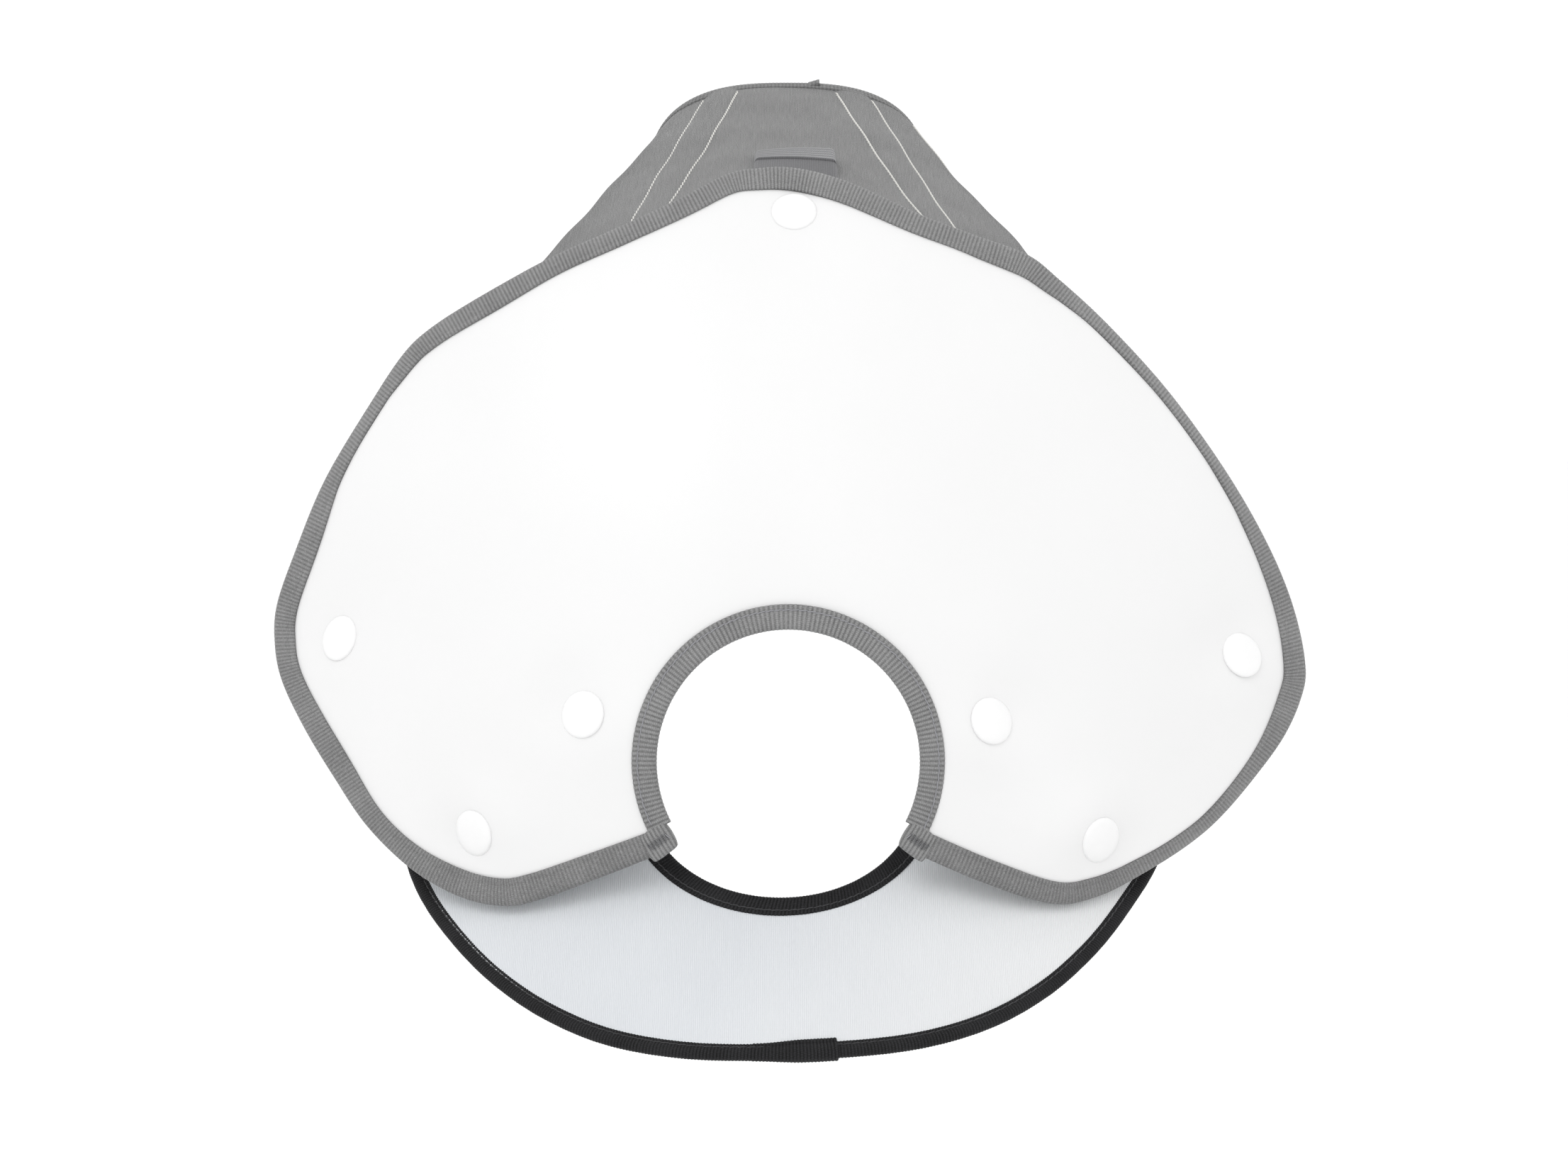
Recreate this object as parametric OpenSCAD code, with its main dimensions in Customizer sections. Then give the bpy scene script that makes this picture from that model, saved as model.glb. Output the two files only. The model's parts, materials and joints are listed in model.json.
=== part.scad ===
// Collapsible flash diffuser: a tapered cloth hood, a translucent panel and a sprung reflector disc.
// Millimetres. The lens axis is Y and the origin lies on it, in the middle of the panel's arch.
// X is the user's right as seen from the subject, Z is up, and the subject is on the -Y side.

/* [Diffuser panel] */
// Width of the panel from wing tip to wing tip
panel_w = 308; // [290:1:320]
// How strongly the wings roll back, per mm
wing_curve = 0.003; // [0.0025:0.0001:0.0035]
// Radius of the arch that goes over the lens
arch_r = 37.4; // [36:0.1:40]
// Width of the folded grosgrain tape round the panel
tape_w = 7; // [6:0.1:8]
// Thickness of the folded tape
tape_t = 2.4; // [2:0.1:2.6]
// Thickness of one layer of cloth
cloth_t = 1; // [0.8:0.1:1.2]

/* [Snaps] */
// Diameter of the snap caps
snap_d = 12.4; // [11:0.1:13]
// Height of the domed cap over the cloth
snap_h = 2.3; // [1.8:0.1:2.6]

/* [Hood] */
// Width of the mouth that goes round the flash head
mouth_w = 90; // [84:1:94]
// Height of the mouth
mouth_h = 64; // [58:1:68]
// Distance from the lens arch back to the middle of the mouth
mouth_y = 190; // [180:1:200]
// Height of the middle of the mouth over the lens axis
mouth_z = 172; // [168:1:176]

/* [Reflector disc] */
// Diameter of the reflector disc over its tape
disc_d = 242; // [232:1:246]
// Angle between the disc and the lens axis
disc_tilt = 45; // [43:1:47]
// Radius to which the disc is bent sideways
disc_bend = 260; // [240:1:300]
// Diameter of the sprung wire
wire_d = 2; // [1.6:0.1:2.4]
// Width of the lens hole
hole_w = 87; // [84:1:90]
// Length by which the lens hole is drawn out up the slope
hole_stretch = 25; // [20:1:30]

/* [Hidden] */
tape_colour = "dimgray";
hood_colour = "gray";
gap = 0.8;                  // between bodies that move apart
k = panel_w / 308;          // the panel's outline was drawn at this width
seam = 1;                   // how far a cloth edge lies inside its tape
step = 2;                   // degrees, for normals of the hood's skin

// ---- points and curves

function unit(v) = v / norm(v);
function lerp(a, b, t) = a + (b - a) * t;
function steps(n) = [for (i = [0:n]) i / n];
function flip_x(p) = [for (i = [0:len(p) - 1]) i == 0 ? -p.x : p[i]];
function reversed(a) = [for (i = [len(a) - 1:-1:0]) a[i]];

// Smooth curve through the points of list a, for t from 0 to 1
function through(a, t) =
    let (n = len(a) - 1, i = min(floor(t * n), n - 1), u = t * n - i,
        p = a[max(i - 1, 0)], q = a[i], r = a[i + 1], s = a[min(i + 2, n)])
    0.5 * (2 * q + (r - p) * u + (2 * p - 5 * q + 4 * r - s) * u * u + (3 * q - p - 3 * r + s) * u * u * u);

// ---- the panel: a sheet that rolls back at its wings and leans back at its top

flat_half = 15;             // half width of the flat middle
lean = 0.05;                // backwards for each mm up
top_curve = 0.0022;         // how strongly the top rolls back, per mm
function panel_y(x, z) =
    wing_curve * pow(max(0, abs(x) - flat_half), 2) + lean * z + top_curve * pow(max(0, z), 2);
function on_panel(p) = [p.x, panel_y(p.x, p.y), p.y];
function panel_normal(p) =
    let (e = 0.5, dx = panel_y(p.x + e, p.y) - panel_y(p.x - e, p.y),
        dz = panel_y(p.x, p.y + e) - panel_y(p.x, p.y - e))
    unit([dx / (2 * e), -1, dz / (2 * e)]);

crease_z = 140;             // the panel folds along this level line, between the hood's corners
side_share = 0.8;           // of half the lower edge; the rest is the crease
arch_end = 27;              // degrees by which the arch passes below the lens axis
side_points = k * [[36, -26], [56, -35.3], [78, -42.5], [97, -39.5], [117, -28.5], [134, -11], [147, 6],
    [154, 26], [149, 48], [137, 75], [120, 100.5], [101, 122.5], [76.5, 140]];
peak_points = k * [[76.5, 140], [54, 151], [38, 157], [20, 165], [8, 169.8], [0, 171]];
peak_edge = concat(peak_points, [for (i = [len(peak_points) - 2:-1:0]) flip_x(peak_points[i])]);

// A curve's point moved inwards, to its left, by d
function inset(a, t, d) =
    let (e = 0.004, v = unit(through(a, min(1, t + e)) - through(a, max(0, t - e))))
    through(a, t) + d * [-v.y, v.x];

// The lower sheet's outer edge, from the right inner corner over the crease to the left one
function half_edge(q, d) =
    q < side_share ? inset(side_points, q / side_share, d)
    : lerp(inset(side_points, 1, d), [0, crease_z], (q - side_share) / (1 - side_share));
function below_crease(p) = [p.x, min(p.y, crease_z - gap / 2)];
function above_crease(p) = [p.x, max(p.y, crease_z + gap / 2)];
function outer_edge(t, d) = below_crease(t <= 0.5 ? half_edge(2 * t, d) : flip_x(half_edge(2 - 2 * t, d)));
function arch(t, r) = let (a = -arch_end + (180 + 2 * arch_end) * t) r * [cos(a), sin(a)];

// ---- the hood: a skin from the rounded mouth to the panel's top and the reflector's top

hood_bow = 2.7;             // squareness of the mouth
corner_x = 73.5;            // half width where the hood meets the panel
corner_z = crease_z + 1.6;
floor_right = [66, 141, 101];   // the front corner of the hood's bottom
mouth_lean = 6;             // how far the mouth's top lies behind its middle
peak_overlap = 2.5;         // of the hood's top over the panel's tape
front_gap = 1.2;            // from the panel's own surface back to the hood's edge

function power(v, n) = sign(v) * pow(abs(v), n);
function mouth(a) =
    let (s = power(sin(a), 2 / hood_bow))
    [mouth_w / 2 * power(cos(a), 2 / hood_bow), mouth_y + mouth_lean * s, mouth_z + mouth_h / 2 * s];
function top_edge(q) =
    let (p = inset(peak_edge, lerp(0.03, 0.97, q), peak_overlap), x = corner_x * (1 - 2 * q),
        z = max(p.y, corner_z))
    [x, panel_y(x, z) + front_gap, z];
corner_right = top_edge(0);
// The front edge's point at angle a: each quarter turn from 45 degrees on is one side of it
function front(a) =
    let (b = a - 360 * floor(a / 360))
    b >= 45 && b <= 135 ? top_edge((b - 45) / 90)
    : b > 135 && b < 225 ? lerp(flip_x(corner_right), flip_x(floor_right), (b - 135) / 90)
    : b >= 225 && b <= 315 ? lerp(flip_x(floor_right), floor_right, (b - 225) / 90)
    : lerp(floor_right, corner_right, ((b > 180 ? b - 360 : b) + 45) / 90);
function hood_point(a, w) = lerp(mouth(a), front(a), w);
function hood_normal(a, w) =
    unit(cross(hood_point(a + step, w) - hood_point(a - step, w), front(a) - mouth(a)));

// ---- the reflector disc, bent sideways about its own upward line

disc_r = disc_d / 2;
disc_centre = [0, 51, 10];
up_slope = [0, sin(disc_tilt), cos(disc_tilt)];
disc_back = [0, cos(disc_tilt), -sin(disc_tilt)];
disc_tape = 5.5;            // width of the tape on the rim
hole_tape = 6.5;            // width of the tape round the hole
hole_low = -26;             // up the slope, the hole's lower centre
wire_r = disc_r - wire_d;   // of the hoop's own centreline

function turn(p) = p.x / disc_bend * 180 / PI;
function on_disc(p) =
    disc_centre + [disc_bend * sin(turn(p)), 0, 0] + p.y * up_slope
    + disc_bend * (1 - cos(turn(p))) * disc_back;
function disc_normal(p) = [sin(turn(p)), 0, 0] - cos(turn(p)) * disc_back;
function rim(t, r) = r * [cos(360 * t), sin(360 * t)];
function hole(t, d) =
    let (a = 360 * t, r = hole_w / 2 + d)
    [r * cos(a), hole_low + (sin(a) > 0 ? hole_stretch : 0) + r * sin(a)];

// ---- solids from a grid of points

function quad(a, b, c, d) = [[a, b, c], [a, c, d]];

// Closed shell between two offsets of the grid g along its normals n; wrap joins the last row to the first
module shell(g, n, low, high, wrap = false) {
    rows = len(g);
    cols = len(g[0]);
    last = wrap ? rows - 1 : rows - 2;
    points = [for (off = [high, low], i = [0:rows - 1], j = [0:cols - 1]) g[i][j] + off * n[i][j]];
    function at(layer, i, j) = (layer * rows + i % rows) * cols + j;
    end = cols - 1;
    faces = [
        for (i = [0:last], j = [0:cols - 2])
            each quad(at(0, i, j), at(0, i, j + 1), at(0, i + 1, j + 1), at(0, i + 1, j)),
        for (i = [0:last], j = [0:cols - 2])
            each quad(at(1, i, j), at(1, i + 1, j), at(1, i + 1, j + 1), at(1, i, j + 1)),
        for (i = [0:last]) each quad(at(0, i, 0), at(0, i + 1, 0), at(1, i + 1, 0), at(1, i, 0)),
        for (i = [0:last]) each quad(at(0, i, end), at(1, i, end), at(1, i + 1, end), at(0, i + 1, end)),
        if (!wrap) for (j = [0:cols - 2])
            each quad(at(0, 0, j), at(1, 0, j), at(1, 0, j + 1), at(0, 0, j + 1)),
        if (!wrap) for (i = rows - 1, j = [0:cols - 2])
            each quad(at(0, i, j), at(0, i, j + 1), at(1, i, j + 1), at(1, i, j))
    ];
    out = cross(g[1][0] - g[0][0], g[0][1] - g[0][0]) * n[0][0];
    polyhedron(points, out > 0 ? faces : [for (f = faces) reversed(f)], convexity = 8);
}

module panel_shell(flat, low, high) {
    g = [for (r = flat) [for (p = r) on_panel(p)]];
    n = [for (r = flat) [for (p = r) panel_normal(p)]];
    shell(g, n, low, high);
}

module disc_shell(flat, low, high, wrap = true) {
    g = [for (r = flat) [for (p = r) on_disc(p)]];
    n = [for (r = flat) [for (p = r) disc_normal(p)]];
    shell(g, n, low, high, wrap);
}

module hood_shell(angles, ws, low, high, wrap = false) {
    g = [for (a = angles) [for (w = ws) hood_point(a, w)]];
    n = [for (a = angles) [for (w = ws) hood_normal(a, w)]];
    shell(g, n, low, high, wrap);
}

function angles(from, to, n) = [for (t = steps(n)) lerp(from, to, t)];
function around(n) = [for (i = [0:n - 1]) i * 360 / n];

// Places its children at p, with +Z along n
module facing(p, n) {
    translate(p) rotate([0, acos(n.z), atan2(n.y, n.x)]) children();
}

// ---- hood

hood_rows = steps(7);       // shares of the way from the mouth to the front
hood_around = around(44);
lining_low = -2.2;          // the lining's two sides, inwards from the skin's middle
lining_high = -1.6;

module hood_skin(from, to, n) {
    color(hood_colour) hood_shell(angles(from, to, n), hood_rows, -cloth_t / 2, cloth_t / 2);
}
module hood_top() { hood_skin(45, 135, 18); }
module hood_left_side() { hood_skin(135, 225, 10); }
module hood_right_side() { hood_skin(-45, 45, 10); }
module hood_bottom() { hood_skin(225, 315, 12); }
module hood_lining() {
    ws = [for (s = steps(5)) lerp(0.02, 0.93, s)];
    color("white") hood_shell(hood_around, ws, lining_low, lining_high, true);
}

// A flat spring stay in its sewn channel, between the hood's skin and its lining
stay_angle = 24;            // from the middle of the top
stay_half = 5;              // degrees to each side of the stay's middle
stay_w = [0.05, 0.9];
stay_low = -1.2;
stay_high = -0.7;
module stay(middle) {
    ws = [for (s = steps(6)) lerp(stay_w[0], stay_w[1], s)];
    color("ivory") hood_shell(angles(middle - stay_half, middle + stay_half, 4), ws, stay_low, stay_high);
}
module left_stay() { stay(90 + stay_angle); }
module right_stay() { stay(90 - stay_angle); }

// The tape over the mouth's edge, and the soft band inside the mouth that grips the flash head
mouth_tape_w = [-0.012, 0.035];
grip_w = [0.05, 0.24];
grip_t = 1;
module mouth_binding() {
    color(tape_colour) hood_shell(hood_around, mouth_tape_w, lining_low - 0.2, 1, true);
}
module mouth_grip_band() {
    color("dimgray") hood_shell(hood_around, grip_w, lining_low - grip_t, lining_low - 0.05, true);
}

// The raised loop of webbing on top, just behind the panel's peak
loop_ends = [79.5, 96.5];
loop_w = [0.74, 0.87];
loop_foot = 0.7;
loop_rise = 3.5;
loop_bow = 0.4;             // the lower, the more squarely the loop rises
loop_t = 1.2;
module webbing_loop() {
    function angle(s) = lerp(loop_ends[0], loop_ends[1], s);
    function height(s) = loop_foot + loop_rise * pow(sin(180 * s), loop_bow);
    function over(s, w) = hood_point(angle(s), w) + height(s) * hood_normal(angle(s), w);
    g = [for (s = steps(12)) [for (w = loop_w) over(s, w)]];
    n = [for (s = steps(12)) [for (w = loop_w) hood_normal(angle(s), w)]];
    color(tape_colour) shell(g, n, 0, loop_t);
}

// The strap that draws the mouth tight: its sewn part, its loop patch and its loose tail
strap_w = [0.08, 0.34];
strap_start = 232;
patch_end = 308;
tail_angle = 282;
module cinch_strap() {
    color(tape_colour) hood_shell(angles(strap_start, tail_angle - 0.5, 8), strap_w, 0.6, 1.8);
}
module strap_loop_patch() {
    color("gray") hood_shell(angles(tail_angle + 1, patch_end, 6), strap_w, 0.6, 1.5);
}
module strap_tail() {
    color(tape_colour) hood_shell(angles(tail_angle + 1, patch_end - 2, 6), strap_w, 2.7, 3.9);
}
module tail_hook_patch() {
    color("black") hood_shell(angles(tail_angle + 3, patch_end - 4, 5), strap_w + [0.02, -0.02], 2, 2.7);
}

// ---- panel

crease_edge = crease_z + gap / 2;
peak_ends = [0.04, 0.96];       // of the peak's cloth along the peak's edge
peak_tape_ends = [0.025, 0.975];
module diffuser_peak() {
    edge = [for (s = steps(20)) above_crease(inset(peak_edge, lerp(peak_ends[0], peak_ends[1], s), seam))];
    color("white") panel_shell([for (p = edge) [for (s = steps(3)) [p.x, lerp(p.y, crease_edge, s * 0.98)]]],
        -cloth_t / 2, cloth_t / 2);
}
module peak_binding() {
    ts = [for (s = steps(28)) lerp(peak_tape_ends[0], peak_tape_ends[1], s)];
    rows = [for (t = ts) [inset(peak_edge, t, 0), above_crease(inset(peak_edge, t, tape_w))]];
    color(tape_colour) panel_shell(rows, -tape_t / 2, tape_t / 2);
}
module diffuser_sheet() {
    color("white") panel_shell([for (t = steps(72)) [for (s = steps(5))
        lerp(arch(t, arch_r + seam), outer_edge(t, seam), s)]], -cloth_t / 2, cloth_t / 2);
}
module side_tape() {
    panel_shell([for (t = steps(44)) [below_crease(inset(side_points, t, 0)),
        below_crease(inset(side_points, t, tape_w))]], -tape_t / 2, tape_t / 2);
}
module diffuser_binding() {
    color(tape_colour) {
        side_tape();
        mirror([1, 0, 0]) side_tape();
    }
}
module arch_binding() {
    color(tape_colour) panel_shell([for (t = steps(40)) [arch(t, arch_r), arch(t, arch_r + tape_w)]],
        -tape_t / 2, tape_t / 2);
}
// The tapes' folded ends, sewn over each other at the inner corner
corner_half_t = 1.7;
module tape_end() {
    corner = side_points[0];
    panel_shell([[corner + [-3.5, -1], corner + [5, -4.5]], [corner + [-4.5, 7], corner + [5.5, 5]]],
        -corner_half_t, corner_half_t);
}
module tape_ends() {
    color(tape_colour) {
        tape_end();
        mirror([1, 0, 0]) tape_end();
    }
}

// Snaps: domed caps in front, sockets behind, and studs on the inner sheet
side_snaps = k * [[132.4, 30], [58.5, 12.5], [90.3, -22.8]];
snaps = concat(side_snaps, [for (p = side_snaps) flip_x(p)]);
top_snap = k * [1.8, 158.2];
inner_off = -3.4;           // of the inner sheet, behind the panel
post_r = 1.7;

stud_r = 3;
module snap_cap(p) {
    r = snap_d / 2;
    foot = cloth_t / 2;
    top = snap_h + foot;
    dome = [[0, foot], [r - 0.5, foot], [r, 0.9], [r - 0.2, 1.6], [r - 1.6, top - 0.4], [r - 3.6, top],
        [0, top]];
    facing(on_panel(p), panel_normal(p)) {
        rotate_extrude($fn = 48) polygon(dome);
        translate([0, 0, -1.9]) cylinder(r = post_r, h = 2.6, $fn = 24);
    }
}
module snap_socket(p) {
    facing(on_panel(p), panel_normal(p)) translate([0, 0, -2.4]) difference() {
        cylinder(d = snap_d - 1.4, h = 1.8, $fn = 48);
        translate([0, 0, -1]) cylinder(r = post_r + 0.05, h = 4, $fn = 24);
    }
}
module inner_stud(p) {
    facing(on_panel(p), panel_normal(p)) {
        translate([0, 0, -5.2]) cylinder(d = snap_d - 0.6, h = 1.4, $fn = 48);
        translate([0, 0, -4]) cylinder(r = stud_r, h = 1.5, $fn = 24);
    }
}
module top_snap_cap() { color("white") snap_cap(top_snap); }
module top_snap_socket() { color("white") snap_socket(top_snap); }
module top_inner_stud() { color("white") inner_stud(top_snap); }
module snap_caps() { color("white") for (p = snaps) snap_cap(p); }
module snap_sockets() { color("white") for (p = snaps) snap_socket(p); }
module inner_snap_studs() { color("white") for (p = snaps) inner_stud(p); }

// The second, removable layer of diffusion cloth behind the panel
inner_inset = 12;           // of the inner sheet, inside the panel's outline
inner_arch = 9;             // and outside its arch
inner_end = 0.05;           // share of the outline left free beside each end of the arch
inner_half_t = 0.3;
tongue_x = [-13, 14];
tongue_z = [crease_z + 1.5, 164.5];
module inner_diffuser_sheet() {
    ts = [for (u = steps(56)) lerp(inner_end, 1 - inner_end, u)];
    rows = [for (t = ts) [for (s = steps(4))
        lerp(arch(t, arch_r + inner_arch), outer_edge(t, inner_inset), s)]];
    color("white") panel_shell(rows, inner_off - inner_half_t, inner_off + inner_half_t);
}
module inner_tongue() {
    color("white") panel_shell([for (s = steps(3)) [for (t = steps(3))
        [lerp(tongue_x[0], tongue_x[1], s), lerp(tongue_z[0], tongue_z[1], t)]]],
        inner_off - inner_half_t, inner_off + inner_half_t);
}

// ---- reflector disc

disc_ts = [for (i = [0:55]) i / 56];
cloth_r = disc_r - 3.4;     // the cloth stops inside the wire
function disc_grid() = [for (t = disc_ts) [for (s = steps(4)) lerp(hole(t, seam), rim(t, cloth_r), s)]];
module reflector_face() { color("white") disc_shell(disc_grid(), 0.1, 0.7); }
module reflector_backing() { color("black") disc_shell(disc_grid(), -0.7, -0.1); }

rim_half_t = 1.7;
hole_half_t = 1.2;
module reflector_binding() {
    color("black") disc_shell([for (t = disc_ts) [rim(t, disc_r), rim(t, disc_r - disc_tape)]],
        -rim_half_t, rim_half_t);
}
module lens_hole_binding() {
    color("black") disc_shell([for (t = disc_ts) [hole(t, 0), hole(t, hole_tape)]],
        -hole_half_t, hole_half_t);
}

// The sprung wire hoop inside the rim's tape, and the sleeve that joins its ends
module reflector_hoop() {
    rows = 64;
    sides = 8;
    points = [for (i = [0:rows - 1], j = [0:sides - 1])
        let (t = i / rows, a = j * 360 / sides, q = rim(t, wire_r + wire_d / 2 * cos(a)))
        on_disc(q) + wire_d / 2 * sin(a) * disc_normal(q)];
    faces = [for (i = [0:rows - 1], j = [0:sides - 1])
        let (m = (i + 1) % rows, l = (j + 1) % sides)
        each quad(i * sides + j, i * sides + l, m * sides + l, m * sides + j)];
    color("silver") polyhedron(points, faces, convexity = 6);
}
ferrule_l = 14;
module hoop_ferrule() {
    color("silver") translate(on_disc([0, -wire_r]) - [ferrule_l / 2, 0, 0]) rotate([0, 90, 0])
        cylinder(d = wire_d + 1, h = ferrule_l, $fn = 24);
}
// The rim tape's end, folded over its beginning
overlap_x = [8.5, 13.5];
overlap_t = 0.8;
module binding_overlap() {
    rows = [for (x = overlap_x) [for (r = [disc_r, disc_r - disc_tape]) [x, -sqrt(r * r - x * x)]]];
    color("black") disc_shell(rows, rim_half_t, rim_half_t + overlap_t, false);
}

// The cloth hinge that hangs the disc from the hood: a tab on the disc and a hanger on the hood
tab_half = 25;
tab_y = [disc_r - 20, disc_r - 8, disc_r - 0.5];
hinge = on_disc([0, disc_r + 3]);
hanger_lift = 1.2;
hanger_w = [0.97, 0.72];
hanger_spread = 0.62;       // degrees round the hood for each mm of x
module reflector_tab() {
    rows = [for (x = [-tab_half, 0, tab_half]) [for (y = tab_y) [x, y]]];
    color("black") disc_shell(rows, -2.9, -1.9, false);
}
module reflector_hanger() {
    rows = [for (x = [-tab_half, 0, tab_half]) let (a = 270 + x * hanger_spread)
        [[x, hinge.y + 1, hinge.z + 0.4],
            for (w = hanger_w) hood_point(a, w) + hanger_lift * hood_normal(a, w)]];
    normals = [for (r = rows) let (n = unit(cross(r[2] - r[0], [1, 0, 0]))) [n, n, n]];
    color("black") shell(rows, normals, -0.5, 0.5);
}

hood_top();
hood_left_side();
hood_right_side();
hood_bottom();
hood_lining();
left_stay();
right_stay();
mouth_binding();
mouth_grip_band();
webbing_loop();
cinch_strap();
strap_loop_patch();
reflector_hanger();
diffuser_peak();
peak_binding();
top_snap_cap();
top_snap_socket();
inner_tongue();
top_inner_stud();
diffuser_sheet();
diffuser_binding();
arch_binding();
tape_ends();
snap_caps();
snap_sockets();
inner_diffuser_sheet();
inner_snap_studs();
reflector_face();
reflector_backing();
reflector_hoop();
hoop_ferrule();
reflector_binding();
binding_overlap();
lens_hole_binding();
reflector_tab();
strap_tail();
tail_hook_patch();
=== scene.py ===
"""A collapsible flash diffuser round its CAD frame: cloth hood, translucent panel, sprung reflector disc.

Shapes are worked out in millimetres in the frame of the CAD part: X to the right as the subject sees it,
Y along the lens axis away from the subject, Z up, with the origin on the lens axis in the middle of the
panel's arch.
"""

import json
import math

import bmesh
import bpy
import numpy as np
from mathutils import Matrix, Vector


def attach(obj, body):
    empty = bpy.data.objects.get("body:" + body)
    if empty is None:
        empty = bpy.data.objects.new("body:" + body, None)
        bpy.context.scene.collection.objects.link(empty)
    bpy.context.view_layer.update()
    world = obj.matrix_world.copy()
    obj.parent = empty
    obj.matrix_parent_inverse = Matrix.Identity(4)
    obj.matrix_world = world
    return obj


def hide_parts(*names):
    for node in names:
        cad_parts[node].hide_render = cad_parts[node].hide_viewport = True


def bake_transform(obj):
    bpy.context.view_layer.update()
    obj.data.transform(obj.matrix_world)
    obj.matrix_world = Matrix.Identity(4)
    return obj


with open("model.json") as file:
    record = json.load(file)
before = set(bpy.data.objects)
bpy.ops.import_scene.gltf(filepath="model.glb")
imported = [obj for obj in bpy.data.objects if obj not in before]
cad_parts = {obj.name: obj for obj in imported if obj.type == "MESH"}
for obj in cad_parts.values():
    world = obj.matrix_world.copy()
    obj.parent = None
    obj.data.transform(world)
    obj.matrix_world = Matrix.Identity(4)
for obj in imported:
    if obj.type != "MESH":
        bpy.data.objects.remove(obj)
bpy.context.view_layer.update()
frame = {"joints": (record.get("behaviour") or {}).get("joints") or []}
MM = 0.001


# ---- driving sizes in millimetres: the CAD part's, but with the outlines, snaps and tapes as the cloth hangs

WING_START, WING_CURVE = 15, 0.003  # the wings bow back from there outwards
PANEL_LEAN, PEAK_CURVE = 0.05, 0.0022
ARCH_R = 37.4
ARCH_END = 27  # degrees below the lens axis
TAPE_W = 7
TAPE_HALF = 1.15
RIB_PITCH = 1.2
CREASE_Z = 140
# The panel's outline as it hangs, from its right inner corner over the peak to its left one
RIGHT_EDGE = [(36, -26), (56, -35), (75, -41.8), (87, -41.5), (101, -36.5), (124.5, -23), (144, -3),
              (153, 12), (154.5, 24), (149, 45), (136, 71), (115.5, 100.5), (96, 122.5), (80.5, 137),
              (71, 144.5), (56, 150), (40, 156), (21, 165), (9.5, 169)]
LEFT_EDGE = [(-9, 170.4), (-18.5, 168.5), (-32.5, 161), (-52.5, 151.5), (-71.5, 143), (-95, 130),
             (-108, 121.5), (-115.5, 114), (-124.5, 100.5), (-138, 78), (-147.5, 55.5), (-153, 40),
             (-153.5, 29), (-151, 18), (-143.5, 4.5), (-134, -9), (-123, -23), (-109, -34.5), (-95, -41),
             (-82, -42.8), (-71.5, -40.5), (-54, -33.5), (-36, -26)]
OUTLINE = RIGHT_EDGE + [(0, 170.7)] + LEFT_EDGE
# How wide the tape looks from the front, by share of the way along the outline: where it looks narrower than
# it is, its edge curls back
TAPE_SHOWS = [(0, 7.1), (0.06, 6.7), (0.1, 5.1), (0.15, 5.3), (0.185, 7.8), (0.22, 6.4), (0.25, 5.1),
              (0.29, 3.4), (0.34, 3.6), (0.37, 4.5), (0.4, 7), (0.43, 6), (0.47, 6.9), (0.5, 7), (0.53, 6.1),
              (0.57, 5.6), (0.6, 5.7), (0.63, 6.3), (0.67, 5.2), (0.69, 4.2), (0.72, 4.7), (0.75, 6.8),
              (0.8, 7.1), (0.84, 7.8), (0.88, 6.6), (0.93, 8.1), (1, 7.1)]
TOP_SNAP = (1.8, 157.4)
# The side snaps, each with the slope that its cloth leans by round it: (x, z, slope across, slope up)
SIDE_SNAPS = [(134.1, 26.5, -0.14, 0.28), (57.9, 11.1, 0.33, 0.22), (90, -24.4, 0.31, -0.3),
              (-132.4, 31.5, -0.12, 0.19), (-58.5, 12.9, -0.24, 0.13), (-90.5, -22.4, -0.35, -0.26)]
LEAN_REACH = 12
INNER_OFF = -3.4
# The folded pad where the edge tape ends on the arch tape: its middle, two directions and half sizes
PAD_AT = np.array([36.6, -22.6])
PAD_ALONG, PAD_ACROSS = np.array([0.80, -0.60]), np.array([0.52, 0.85])
PAD_LONG, PAD_WIDE = 4.6, 4.3

MOUTH_W, MOUTH_H, MOUTH_Y, MOUTH_Z, MOUTH_LEAN = 90, 64, 190, 172, 6
HOOD_BOW = 2.7
HOOD_BEHIND, HOOD_UNDER = 1.2, 2.6  # its front edge, from the panel's face and from the panel's outline
CORNER_X, CORNER_Z = 73.5, CREASE_Z + 1.6
FLOOR_CORNER = np.array([66.0, 141.0, 101.0])
SKIRT, DEPTH = 45, 120  # the hood cloth's pattern, in mm for each radian round it and for its whole depth
MOUTH_TAPE_OUT, MOUTH_TAPE_DEEP = 0.012, 0.047  # in shares of the hood's depth
# The webbing loop: degrees round the hood of its two ends, and shares of the hood's depth of its sides
LOOP_ENDS, LOOP_BACKS, LOOP_FRONT = (80.6, 96.5), (0.768, 0.8), 0.875
LOOP_RIBS, STRAP_RIBS = 5, 8
STRAP_SIDES = (0.08, 0.34)

DISC_R = 121
DISC_TILT = math.radians(45)
DISC_BEND = 260
DISC_CENTRE = np.array([0.0, 51.0, 10.0])
DISC_TAPE = 4.5
DISC_TAPE_HALF = 1.35
DISC_RIB = 0.95
DISC_CLOTH_INSET = 3.4
OVERLAP_LEFT, OVERLAP_RIGHT = 10, 13.5  # from the bottom of the rim
SLEEVE_LEFT, SLEEVE_RIGHT = 1.5, 12.5
HOLE_R, HOLE_STRETCH, HOLE_LOW, HOLE_TAPE = 43.5, 25, -26, 6.5
HOLE_TAPE_HALF = 1.05
HOLE_NARROW, HOLE_SHIFT = 0.926, -2  # of the hole's lower end
WIRE_D = 2
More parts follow.
